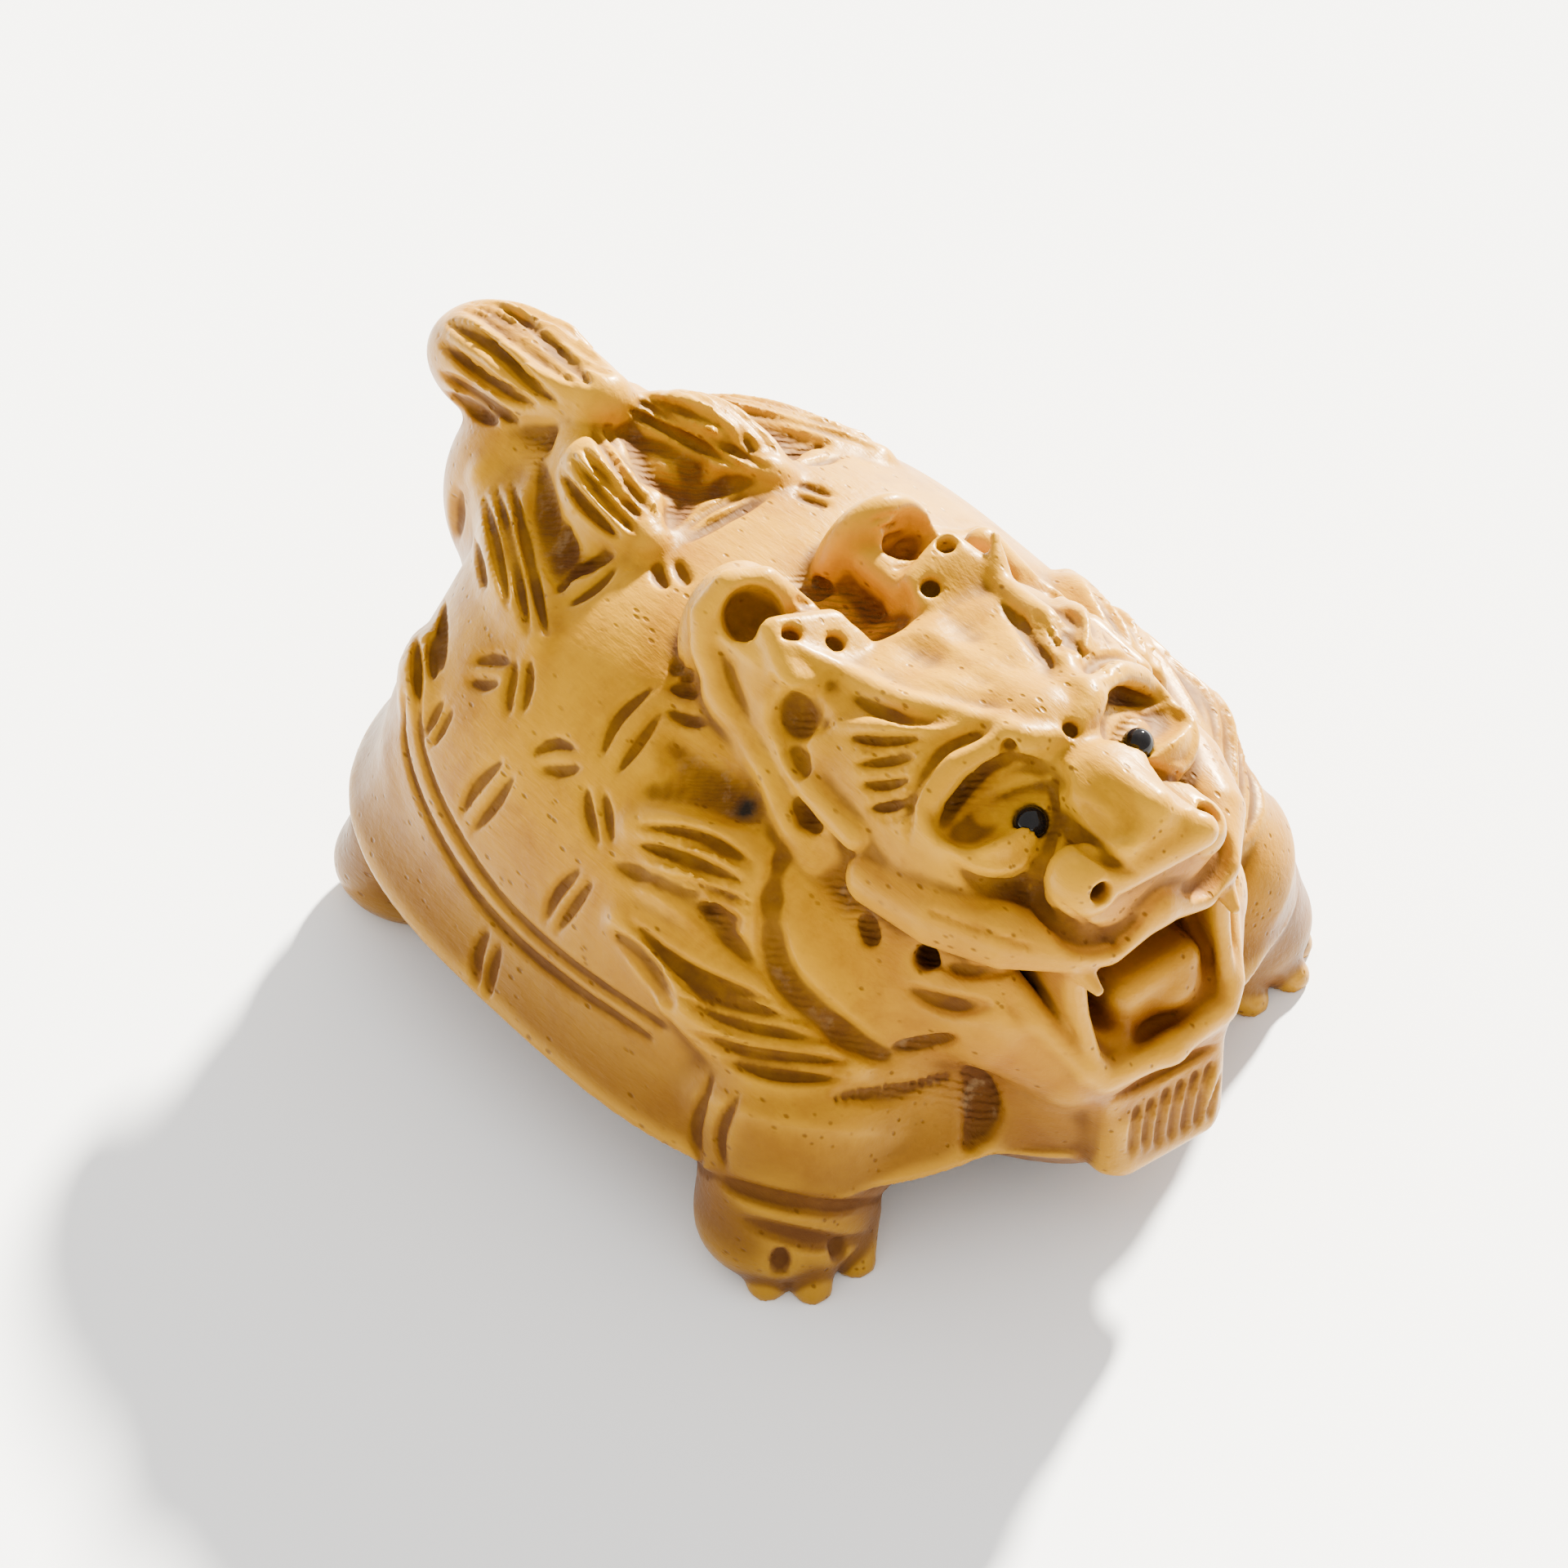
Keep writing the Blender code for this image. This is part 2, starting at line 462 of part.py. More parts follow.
def carve_shell(wood):
    wood.strand([((752, 492), (850, 520), (950, 580)), ((700, 535), (745, 590), (795, 655)),
                 ((590, 585), (618, 670), (660, 785)), ((545, 625), (515, 730), (512, 862))],
                5.0, 0.55, blend=1.2)
    wood.gouge([((768, 520), (800, 575), (850, 592), (925, 586)), ((660, 566), (664, 640), (690, 722))],
               2.6, 1.1, blend=0.4)
    wood.gouge([((560, 600), (556, 660), (570, 740)), ((878, 524), (921, 542), (971, 549)),
                ((690, 640), (705, 690), (750, 676))], 2.2, 0.7, blend=0.4)
    wood.gouge(SHELL_HAIR, 1.0, 0.5)
    wood.gouge(SCUTE_SEAMS, 1.05, 0.45)
    wood.gouge([RIM_LINE, tuple((x + RIM_LINE_GAP[0], y + RIM_LINE_GAP[1]) for x, y in RIM_LINE)],
               0.9, 0.4, ends=0.15)
    wood.gouge(TUFT_FLUTES, 1.5, 0.6)


def carve_flames(wood):
    """The flame-like locks beside the cheeks, and the hollows round them."""
    wood.strand([((776, 1012), (850, 1020), (940, 1075)), ((800, 1075), (870, 1090), (930, 1125))],
                4.0, 0.5, blend=1.2)
    wood.strand([((760, 1130), (850, 1215), (990, 1262)), ((820, 1230), (920, 1290), (1045, 1305))],
                4.5, 0.5, blend=1.2)
    wood.gouge([((815, 905), (850, 945), (918, 990)), ((790, 965), (860, 965), (925, 1000))],
               3.2, 0.9, blend=0.8)
    wood.gouge([((745, 1056), (822, 1092), (898, 1155), (937, 1197)),
                ((745, 1140), (783, 1178), (826, 1236))], 1.8, 0.8, blend=0.3)
    wood.gouge(FLAME_HAIR, 1.2, 0.65)
    wood.gouge(NAPE_HAIR, 1.0, 0.5)
    wood.gouge([NECK_GROOVE], 2.2, 0.9, ends=0.4, blend=0.4)
    wood.gouge([((1017, 1340), (1090, 1340), (1160, 1318))], 1.3, 0.3, blend=0.2)
    wood.gouge([((1150, 1270), (1192, 1318), (1202, 1368), (1184, 1412))], 2.2, 1.1, blend=0.6)


def carve_feet(wood):
    wood.gouge([((800, 1402), (870, 1440), (954, 1470), (1040, 1478), (1128, 1450))], 1.3, 0.6, blend=0.3)
    wood.gouge([((899, 1490), (978, 1516), (1037, 1522), (1080, 1503))], 1.6, 0.5, blend=0.2)
    toe_gaps = (((956, 1530), (955, 1545), (954, 1562)), ((1020, 1520), (1027, 1530), (1031, 1545)))
    wood.gouge(toe_gaps, 1.3, 0.7)


def carve_head(wood):
    wood.drill(((970, 774), (1024, 785), (1140, 718), (1158, 664)), 0.7, 0.8, both=False)
    # locks over the forehead, and the hollows between them
    wood.strand([((975, 792), (1030, 822), (1100, 856), (1185, 872)),
                 ((1030, 888), (1100, 894), (1175, 890))], 1.7, 0.35, blend=0.5)
    wood.gouge([((935, 835), (965, 868), (1015, 888))], 3.0, 0.9, blend=0.4)
    wood.gouge([((962, 905), (975, 930), (984, 952)), ((974, 978), (988, 1000), (1003, 1018))],
               1.7, 1.0, blend=0.2)
    wood.gouge([((1040, 850), (1095, 876), (1170, 884))], 1.1, 0.5, blend=0.2)
    wood.gouge([((1160, 750), (1200, 785), (1244, 818))], 3.0, 0.5, blend=0.6)
    wood.gouge(BROW_HAIR, 1.1, 0.55)
    wood.gouge(LEFT_BROW_HAIR, 1.0, 0.4, both=False, blend=0.2)
    # brow and rings of the eye
    wood.strand([((1180, 876), (1225, 892), (1262, 905), (1300, 900))], 2.2, 0.3, blend=0.6)
    wood.gouge([((1112, 1035), (1116, 972), (1150, 922), (1200, 896))], 1.0, 0.6, blend=0.1)
    wood.gouge([((1152, 1010), (1176, 968), (1210, 940), (1244, 930), (1280, 934))], 1.2, 0.9, blend=0.1)
    wood.gouge([((1158, 1050), (1193, 1080), (1243, 1084), (1276, 1055))], 1.2, 0.5, blend=0.1)
    wood.strand([((1156, 1022), (1184, 990), (1216, 968), (1252, 954), (1288, 952)),
                 ((1156, 1030), (1193, 1058), (1240, 1062), (1274, 1036))], 0.9, 0.3, blend=0.2)
    wood.drill(((1235, 919), (1312, 891)), 0.6, 0.5, both=False)
    # nose, nostrils and the hatched band over the lip
    wood.gouge([((1291, 952), (1286, 1016), (1268, 1075), (1279, 1118), (1315, 1155))], 1.3, 1.0, blend=0.1)
    wood.gouge([((1285, 1110), (1320, 1148), (1365, 1150), (1400, 1118))], 2.0, 0.8, blend=0.3)
    wood.drill(((1352, 1096),), 0.75, 1.8)
    wood.gouge([((1312, 1030), (1345, 1048), (1372, 1062), (1395, 1070))], 0.9, 0.5, blend=0.1)
    # cheek pit, corner of the mouth and the creases of the jaw
    wood.gouge([((1070, 1080), (1060, 1118), (1070, 1162))], 1.4, 0.8, ends=0.5)
    wood.drill(((1133, 1173),), 0.9, 1.6)
    wood.gouge([((1140, 1180), (1190, 1190), (1244, 1190))], 0.9, 0.9)
    wood.gouge([((1318, 982), (1350, 1010), (1390, 1024))], 2.0, 0.5, blend=0.3)
    wood.gouge([((1104, 1208), (1156, 1230), (1220, 1232))], 1.4, 0.6, blend=0.2)
    wood.gouge([((1088, 1284), (1130, 1280), (1175, 1269))], 1.3, 0.7, blend=0.2)
    wood.gouge([BEARD_TOP], 1.4, 0.9, both=False, blend=0.1)
    first = np.array(((1396, 1346), (1390, 1392), (1383, 1438)))
    last = np.array(((1504, 1284), (1490, 1338), (1478, 1390)))
    flutes = [first + (last - first) * i / (BEARD_FLUTES - 1) for i in range(BEARD_FLUTES)]
    wood.gouge(flutes, 0.85, 0.5, both=False, ends=0.2)


def carved_wood(grain):
    """The whole carving, from its masses to its last mark."""
    wood = Wood((-27, -39, -2.5), (27, 40, 39.5), grain)
    for make in (shell_form, feet_form, tail_form):
        make(wood)
    wood.middle = HEAD_MIDDLE
    for make in (head_form, mouth_form, crown_form, eye_form, carve_head):
        make(wood)
    wood.middle = 0.0
    for make in (belly_form, carve_shell, carve_flames, carve_feet):
        make(wood)
    wood.polish()
    return wood


def plain_material(name, colour, roughness):
    material = bpy.data.materials.new(name)
    material.use_nodes = True
    shader = material.node_tree.nodes["Principled BSDF"]
    shader.inputs["Base Color"].default_value = (*colour, 1.0)
    shader.inputs["Roughness"].default_value = roughness
    shader.inputs["Metallic"].default_value = 0.0
    return material


def new_object(name, points, faces, material=None):
    mesh = bpy.data.meshes.new(name)
    mesh.from_pydata([tuple(p) for p in points], [], [tuple(int(i) for i in f) for f in faces])
    mesh.shade_smooth()
    if material:
        mesh.materials.append(material)
    item = bpy.data.objects.new(name, mesh)
    bpy.context.collection.objects.link(item)
    return item


def ball(name, centre, diameter, material=None, segments=14, rings=8):
    """A round bead, or a cutter of its shape."""
    points = [(0, 0, 1)]
    for i in range(1, rings):
        for j in range(segments):
            fall, way = np.pi * i / rings, 2 * np.pi * j / segments
            points.append((sin(fall) * cos(way), sin(fall) * sin(way), cos(fall)))
    points.append((0, 0, -1))
    ring = [[1 + i * segments + j for j in range(segments)] for i in range(rings - 1)]
    faces = [(0, ring[0][j], ring[0][(j + 1) % segments]) for j in range(segments)]
    for upper, lower in zip(ring, ring[1:]):
        faces += [(upper[j], lower[j], lower[(j + 1) % segments], upper[(j + 1) % segments])
                  for j in range(segments)]
    faces += [(len(points) - 1, ring[-1][(j + 1) % segments], ring[-1][j]) for j in range(segments)]
    item = new_object(name, np.array(points) * diameter / 2, faces, material)
    item.location = centre
    return item


def cutter(item):
    item.hide_render = True
    item.display_type = "WIRE"
    return item


def cut_with(item, tool):
    change = item.modifiers.new(tool.name, "BOOLEAN")
    change.operation = "DIFFERENCE"
    change.object = tool


def make_netsuke():
    boxwood = plain_material("boxwood", (0.66, 0.42, 0.16), 0.42)
    black_bead = plain_material("black_bead", (0.01, 0.01, 0.012), 0.12)
    points, faces = carved_wood(GRAIN).faces()
    middle = (points.min(axis=0) + points.max(axis=0)) / 2 * (1, 1, 0)
    carving = new_object("turtle_carving", (points - middle) * STEP, faces, boxwood)
    thin = carving.modifiers.new("thin", "DECIMATE")
    thin.ratio = CARVING_FACES / (2 * len(faces))
    thin.use_collapse_triangulate = True
    for name, place in zip(("left", "right"), BEAD_CENTRES):
        centre = (place - middle) * STEP
        ball(name + "_eye_bead", centre, EYE_BEAD, black_bead)
        cut_with(carving, cutter(ball(name + "_socket", centre, EYE_BEAD + 2 * EYE_GAP)))
    depth = 4 * STEP
    corners = [(x * LENGTH, y * LENGTH, z * depth) for z in (-1, 0) for y in (-1, 1) for x in (-1, 1)]
    sides = ((0, 2, 3, 1), (4, 5, 7, 6), (0, 1, 5, 4), (1, 3, 7, 5), (3, 2, 6, 7), (2, 0, 4, 6))
    cut_with(carving, cutter(new_object("ground", corners, sides)))


for item in list(bpy.data.objects):
    bpy.data.objects.remove(item)
make_netsuke()
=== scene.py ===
"""The looks of a dragon turtle netsuke: carved boxwood with two inlaid black bead eyes.

The carving is made again as wood is carved, on a finer grid than its solid: masses are joined, the
mouth and hollows are cut away, and gouge marks are laid on the surface. Its places are grid steps,
shares of its own length. It is set in the box of the solid that it stands for.
"""
from math import cos, radians, sin

import bpy
import numpy as np
import openvdb
from mathutils import Matrix, Vector

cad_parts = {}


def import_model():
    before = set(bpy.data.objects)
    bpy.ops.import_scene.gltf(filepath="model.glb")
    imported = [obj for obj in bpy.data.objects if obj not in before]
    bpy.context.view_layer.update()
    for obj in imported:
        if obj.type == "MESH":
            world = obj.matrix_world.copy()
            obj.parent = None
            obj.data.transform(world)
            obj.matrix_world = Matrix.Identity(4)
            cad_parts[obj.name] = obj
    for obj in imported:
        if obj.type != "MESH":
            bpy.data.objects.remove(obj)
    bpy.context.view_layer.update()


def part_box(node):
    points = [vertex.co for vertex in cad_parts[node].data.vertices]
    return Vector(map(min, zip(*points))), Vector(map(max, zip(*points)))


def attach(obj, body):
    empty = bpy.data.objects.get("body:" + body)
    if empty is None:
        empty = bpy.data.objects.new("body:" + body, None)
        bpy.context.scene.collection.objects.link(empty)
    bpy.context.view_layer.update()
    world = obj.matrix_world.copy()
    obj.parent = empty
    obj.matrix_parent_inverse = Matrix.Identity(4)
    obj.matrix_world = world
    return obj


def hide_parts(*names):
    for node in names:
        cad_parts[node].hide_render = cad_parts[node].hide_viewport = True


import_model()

# Real sizes, in metres
LENGTH = 0.056                 # nose to the end of the tail tuft
CORD_HOLE = 0.0030             # diameter of the two cord holes in the belly
BEAD_SEAT = 0.00004            # free space round a bead in the finished carving

LENGTH_STEPS = 69.4
STEP = LENGTH / LENGTH_STEPS   # one grid step of the carving
FINE_GRAIN = 0.23              # distance between the samples of the form, in steps
CARVING_FACES = 190000         # triangles left in the carving
FINE_BEND = 0.75               # reach that finds the grooves and ridges, in steps
WIDE_BEND = 2.6                # reach that finds the hollows
LEAP = 2.2                     # a jump in a line of marks, where it leaves one form for another

# Light and ground
KEY_WAY = (-0.817, -0.404, -0.412)    # the way that the key light travels
KEY_STRENGTH = 44.0
KEY_SPREAD = radians(4.0)
KEY_COLOUR = (1.0, 0.93, 0.80)
FILL_STRENGTH = 1.7
FILL_COLOUR = (1.0, 0.955, 0.90, 1.0)
FLOOR_HALF = 3.0               # half the floor's width, in metres

# The view that the carving's marks are drawn in: a square frame of 1920 units
VIEW_TURN = radians(-39.0)
VIEW_RISE = radians(45.0)
VIEW_REACH = 560.0             # steps from the eye to the target
VIEW_SCALE = 20.0              # frame units to a step, at the target
VIEW_MIDDLE = 960.0            # the middle of the frame, across and down
VIEW_TARGET = np.array((2.2, 5.9, 6.0))
VIEW_RIGHT = np.array((cos(VIEW_TURN), sin(VIEW_TURN), 0.0))
VIEW_UP = np.array((-sin(VIEW_TURN) * sin(VIEW_RISE), cos(VIEW_TURN) * sin(VIEW_RISE), cos(VIEW_RISE)))
VIEW_BACK = np.array((sin(VIEW_TURN) * cos(VIEW_RISE), -cos(VIEW_TURN) * cos(VIEW_RISE), sin(VIEW_RISE)))
VIEW_EYE = VIEW_TARGET + VIEW_BACK * VIEW_REACH


def sight(marks):
    """The directions from the eye through marks on the frame."""
    across, down = (np.asarray(marks, dtype=float).T - VIEW_MIDDLE) / (VIEW_SCALE * VIEW_REACH)
    return np.outer(across, VIEW_RIGHT) - np.outer(down, VIEW_UP) - VIEW_BACK


def at(across, down, side):
    """The point that the view shows at a mark, side steps from the middle plane."""
    heading = sight([(across, down)])[0]
    return VIEW_EYE + heading * ((side - VIEW_EYE[0]) / heading[0])


def before(across, down, nearness):
    """The point that the view shows at a mark, so many steps before the target."""
    return VIEW_EYE + sight([(across, down)])[0] * (VIEW_REACH - nearness)


def smooth_line(knots, spacing):
    """Even points on a smooth curve through a few knots."""
    knots = np.asarray(knots, dtype=float)
    ends = np.vstack((2 * knots[0] - knots[1], knots, 2 * knots[-1] - knots[-2]))
    line = [knots[:1]]
    for a, b, c, d in zip(ends, ends[1:], ends[2:], ends[3:]):
        count = max(2, int(np.linalg.norm(c - b) / spacing))
        t = np.arange(1, count + 1)[:, None] / count
        line.append(0.5 * (2 * b + (c - a) * t + (2 * a - 5 * b + 4 * c - d) * t ** 2
                           + (3 * b - a - 3 * c + d) * t ** 3))
    return np.vstack(line)


def unbroken(path):
    """The longest part of a path that has no jump, as at the edge of a nearer form."""
    jumps = np.flatnonzero(np.linalg.norm(np.diff(path, axis=0), axis=1) > LEAP) + 1
    return max(np.split(path, jumps), key=len)


def turned(turn):
    """A turn about X, then Y, then Z, in degrees."""
    x, y, z = np.radians(turn)
    about_x = np.array(((1, 0, 0), (0, cos(x), -sin(x)), (0, sin(x), cos(x))))
    about_y = np.array(((cos(y), 0, sin(y)), (0, 1, 0), (-sin(y), 0, cos(y))))
    about_z = np.array(((cos(z), -sin(z), 0), (sin(z), cos(z), 0), (0, 0, 1)))
    return about_z @ about_y @ about_x


# Forms: each is its lowest corner, its highest corner and its distance function


def egg(centre, radii, turn=(0, 0, 0)):
    """An egg-shaped swell, turned about its centre."""
    centre = np.asarray(centre, dtype=float)
    spin = turned(turn)
    reach = np.sqrt(((spin * np.array(radii)) ** 2).sum(axis=1))

    def distance(x, y, z):
        x, y, z = x - centre[0], y - centre[1], z - centre[2]
        near = far = 0
        for axis, radius in zip(spin.T, radii):
            along = (x * axis[0] + y * axis[1] + z * axis[2]) / radius
            near = near + along ** 2
            far = far + (along / radius) ** 2
        near = np.sqrt(near)
        return near * (near - 1) / np.maximum(np.sqrt(far), 1e-6)

    return centre - reach, centre + reach, distance


def limb(points, radii):
    """A round bar of changing thickness along a chain of points."""
    points = np.asarray(points, dtype=float)
    radii = np.asarray(radii, dtype=float) * np.ones(len(points))

    def distance(x, y, z):
        best = None
        for a, b, thick, thin in zip(points, points[1:], radii, radii[1:]):
            way = b - a
            x0, y0, z0 = x - a[0], y - a[1], z - a[2]
            t = np.clip((x0 * way[0] + y0 * way[1] + z0 * way[2]) / max(way @ way, 1e-9), 0, 1)
            gap = np.sqrt((x0 - t * way[0]) ** 2 + (y0 - t * way[1]) ** 2 + (z0 - t * way[2]) ** 2)
            gap = gap - (thick + (thin - thick) * t)
            best = gap if best is None else np.minimum(best, gap)
        return best

    return (points - radii[:, None]).min(axis=0), (points + radii[:, None]).max(axis=0), distance


def block(centre, half, turn=(0, 0, 0), corner=0.0):
    """A box with round corners."""
    centre = np.asarray(centre, dtype=float)
    spin = turned(turn)
    reach = np.abs(spin * np.array(half)).sum(axis=1)

    def distance(x, y, z):
        x, y, z = x - centre[0], y - centre[1], z - centre[2]
        past = [np.abs(x * axis[0] + y * axis[1] + z * axis[2]) - (size - corner)
                for axis, size in zip(spin.T, half)]
        outer = np.sqrt(sum(np.maximum(p, 0) ** 2 for p in past))
        inner = np.minimum(np.maximum(np.maximum(past[0], past[1]), past[2]), 0)
        return outer + inner - corner

    return centre - reach, centre + reach, distance


def dome(half_width, half_length, base, rise, fall, squareness, fullness, shift, left=1.0):
    """A turtle-back: a squarish oval in plan, rounded up from its base and under it."""

    def distance(x, y, z):
        n, m = squareness, fullness
        wide = half_width * np.where(x > 0, left, 1.0)
        across, along = np.abs(x) / wide, np.abs(y - shift) / half_length
        plan = np.maximum((across ** n + along ** n) ** (1 / n), 1e-3)
        tall = np.where(z > base, rise, fall)
        lift = np.abs(z - base) / tall
        size = np.maximum((plan ** m + lift ** m) ** (1 / m), 1e-3)
        steep = np.sqrt((across ** (n - 1) / wide) ** 2 + (along ** (n - 1) / half_length) ** 2)
        side = plan ** (1 - n) * steep
        slope = np.sqrt((side * (plan / size) ** (m - 1)) ** 2 + ((lift / size) ** (m - 1) / tall) ** 2)
        return (size - 1) / np.maximum(slope, 0.02)

    return (np.array((-half_width, shift - half_length, base - fall)),
            np.array((half_width, shift + half_length, base + rise)), distance)


def wedge(apex, rise, fall, half_width, reach):
    """The air between two jaws: it opens forward from its apex, rise above level and fall below."""
    apex = np.asarray(apex, dtype=float)

    def distance(x, y, z):
        ahead = apex[1] - y
        roof = (z - apex[2] - rise * ahead) / np.sqrt(1 + rise ** 2)
        floor = (apex[2] - fall * ahead - z) / np.sqrt(1 + fall ** 2)
        return np.maximum(np.maximum(roof, floor), np.abs(x - apex[0]) - half_width)

    return (apex - (half_width, reach, fall * reach), apex + (half_width, 0, rise * reach), distance)


def mirrored(form, middle):
    """The same form on the other side of a middle plane."""
    low, high, distance = form
    turn = 2 * middle
    return (np.array((turn - high[0], low[1], low[2])), np.array((turn - low[0], high[1], high[2])),
            lambda x, y, z: distance(turn - x, y, z))


class Wood:
    """The block that is carved: distances to its surface on an even grid, negative inside."""

    FAR = 6.0

    def __init__(self, low, high, grain):
        self.low = np.array(low, dtype=float)
        self.grain = grain
        self.middle = 0.0
        self.axes = [np.arange(a, b + grain, grain).astype(np.float32) for a, b in zip(low, high)]
        self.field = np.full([len(axis) for axis in self.axes], self.FAR, np.float32)

    def join(self, form, blend=0.0, both=False, cut=False):
        """Join a form to the wood, or cut it away, with a seam that is as soft as blend."""
        if both:
            self.join(mirrored(form, self.middle), blend, cut=cut)
        low, high, distance = form
        margin = blend + 3 * self.grain + 0.2
        cells, grid = [], []
        for i, axis in enumerate(self.axes):
            first = max(0, int((low[i] - margin - axis[0]) / self.grain))
            last = max(first, min(len(axis), int((high[i] + margin - axis[0]) / self.grain) + 2))
            cells.append(slice(first, last))
            grid.append(axis[first:last].reshape([-1 if j == i else 1 for j in range(3)]))
        cells = tuple(cells)
        old = self.field[cells]
        new = distance(*grid).astype(np.float32)
        if cut:
            new = -new
            result, way = np.maximum(old, new), 1
        else:
            result, way = np.minimum(old, new), -1
        if blend:
            result = result + way * np.maximum(blend - np.abs(old - new), 0) ** 2 / (4 * blend)
        self.field[cells] = result

    def cut(self, form, blend=0.0, both=False):
        """Cut a form away from the wood."""
        self.join(form, blend, both, cut=True)

    def sample(self, points):
        """The distance at any points, between the grid's own."""
        place = np.clip((points - self.low) / self.grain, 0, np.array(self.field.shape) - 1.001)
        base = place.astype(int)
        rest = place - base
        total = 0.0
        for corner in np.ndindex(2, 2, 2):
            share = np.prod(np.where(corner, rest, 1 - rest), axis=1)
            total = total + share * self.field[tuple((base + corner).T)]
        return total

    def facing(self, points):
        """The direction that the surface faces near each point."""
        gap = 0.4
        slope = np.stack([self.sample(points + gap * axis) - self.sample(points - gap * axis)
                          for axis in np.eye(3)], axis=1)
        return slope / np.maximum(np.linalg.norm(slope, axis=1, keepdims=True), 1e-6)

    def seen(self, marks, spacing=0.6):
        """The points of the surface that the view shows along a line of marks."""
        heading = sight(smooth_line(marks, spacing * VIEW_SCALE))
        heading = heading / np.linalg.norm(heading, axis=1, keepdims=True)
        start = VIEW_EYE + heading * (VIEW_REACH - 60)
        gone = np.zeros(len(heading))
        found = np.zeros(len(heading), bool)
        pace = 0.4
        for _ in range(280):
            found |= self.sample(start + gone[:, None] * heading) < 0
            gone += np.where(found, 0, pace)
        outer, inner = gone - pace, gone
        for _ in range(7):
            middle = (outer + inner) / 2
            inside = self.sample(start + middle[:, None] * heading) < 0
            inner = np.where(inside, middle, inner)
            outer = np.where(inside, outer, middle)
        return unbroken((start + inner[:, None] * heading)[found])

    def gouge(self, lines, width, depth, both=True, ends=0.6, blend=0.0):
        """Cuts with a round gouge along lines in the view, running out at both ends."""
        paths = [self.seen(marks) for marks in lines]
        paths = [path for path in paths if len(path) > 2]
        fronts = [self.facing(path) for path in paths]
        for path, front in zip(paths, fronts):
            share = np.linspace(0, 1, len(path))
            half = width / 2 * np.maximum(np.sin(np.pi * share) ** ends, 0.08)
            deep = np.minimum(depth / (width / 2), 1.0)
            radius = half * (1 + deep ** 2) / (2 * deep)
            self.cut(limb(path + front * (radius - deep * half)[:, None], radius), blend, both)

    def strand(self, lines, width, sunk, both=True, blend=0.6):
        """Raised bars along lines in the view, sunk in the wood by a share of their radius."""
        for marks in lines:
            path = self.seen(marks)
            share = np.linspace(0, 1, len(path))
            radius = width / 2 * np.maximum(np.sin(np.pi * share), 0.15) ** 0.5
            path = path - self.facing(path) * (radius * sunk)[:, None]
            self.join(limb(path, radius), blend, both)

    def drill(self, marks, radius, depth, both=True):
        """Holes drilled square to the surface where the view shows the marks."""
        for mark in marks:
            spot = self.seen((mark, (mark[0] + 1, mark[1])))[:1]
            out = self.facing(spot)[0]
            ends = (spot[0] + out * radius, spot[0] - out * depth)
            self.cut(limb(ends, (radius, radius * 0.8)), 0.15, both)

    def polish(self):
        """Rub the sharpest edges down, as handling does."""
        near = sum(np.roll(self.field, way, axis) for axis in range(3) for way in (-1, 1)) / 6
        self.field = (self.field + near) / 2

    def level(self):
        """Trim the wood at the height that it stands on."""
        self.field = np.maximum(self.field, -self.axes[2].reshape(1, 1, -1))

    def faces(self):
        """The surface as points and four-sided faces."""
        grid = openvdb.FloatGrid(self.FAR)
        grid.copyFromArray(self.field)
        points, quads = grid.convertToQuads(isovalue=0.0)
        return points * self.grain + self.low, quads


HEAD_MIDDLE = 0.5              # the head's middle plane, in steps to the left
BEAD_CENTRES = (at(1393, 911, 4.7), at(1262, 1007, -3.7))    # left, then right
STAIN = (914, 991)             # the black spot in the hollow behind the cheek
MOUTH_MIDDLE = (HEAD_MIDDLE, -28.5, 17.5)
MOUTH_HALF = (6.4, 5.5, 5.5)   # half the room in which the inside of the mouth is painted darker, as shade and patina, each way

# Marks of the carving, in the view's frame

SCUTE_SEAMS = (
    ((828, 648), (878, 615), (930, 600)), ((831, 658), (891, 631), (946, 605)),
    ((679, 731), (708, 700), (755, 681)), ((690, 745), (728, 718), (758, 688)),
    ((631, 801), (622, 850), (622, 884)), ((647, 800), (644, 845), (637, 880)),
    ((573, 811), (600, 806), (632, 814)), ((568, 831), (592, 838), (615, 832)),
    ((545, 850), (528, 880), (514, 905)), ((556, 860), (540, 890), (524, 918)),
    ((620, 926), (580, 965), (562, 1003)), ((632, 944), (600, 990), (573, 1023)),
    ((646, 924), (680, 910), (712, 922)), ((652, 939), (685, 944), (716, 938)),
    ((806, 834), (755, 880), (733, 934)), ((815, 862), (780, 910), (750, 952)),
    ((716, 957), (720, 1000), (734, 1043)), ((737, 962), (742, 1000), (750, 1037)),
    ((715, 1058), (680, 1095), (663, 1135)), ((729, 1073), (700, 1110), (676, 1147)),
    ((600, 1132), (583, 1170), (584, 1214)), ((614, 1152), (600, 1190), (597, 1226)),
    ((875, 1308), (851, 1379), (860, 1435)), ((908, 1332), (881, 1387), (889, 1441)),
    ((820, 832), (838, 805), (862, 788)), ((832, 838), (850, 818), (868, 806)),
    ((972, 592), (1000, 598), (1024, 609)), ((968, 604), (995, 612), (1020, 622)),
    ((979, 719), (995, 727), (1009, 733)), ((975, 730), (990, 738), (1005, 742)),
)
RIM_LINE = ((493, 840), (495, 914), (512, 975), (542, 1037), (585, 1102), (634, 1155),
            (695, 1205), (757, 1247), (806, 1278))
RIM_LINE_GAP = (17, -14)
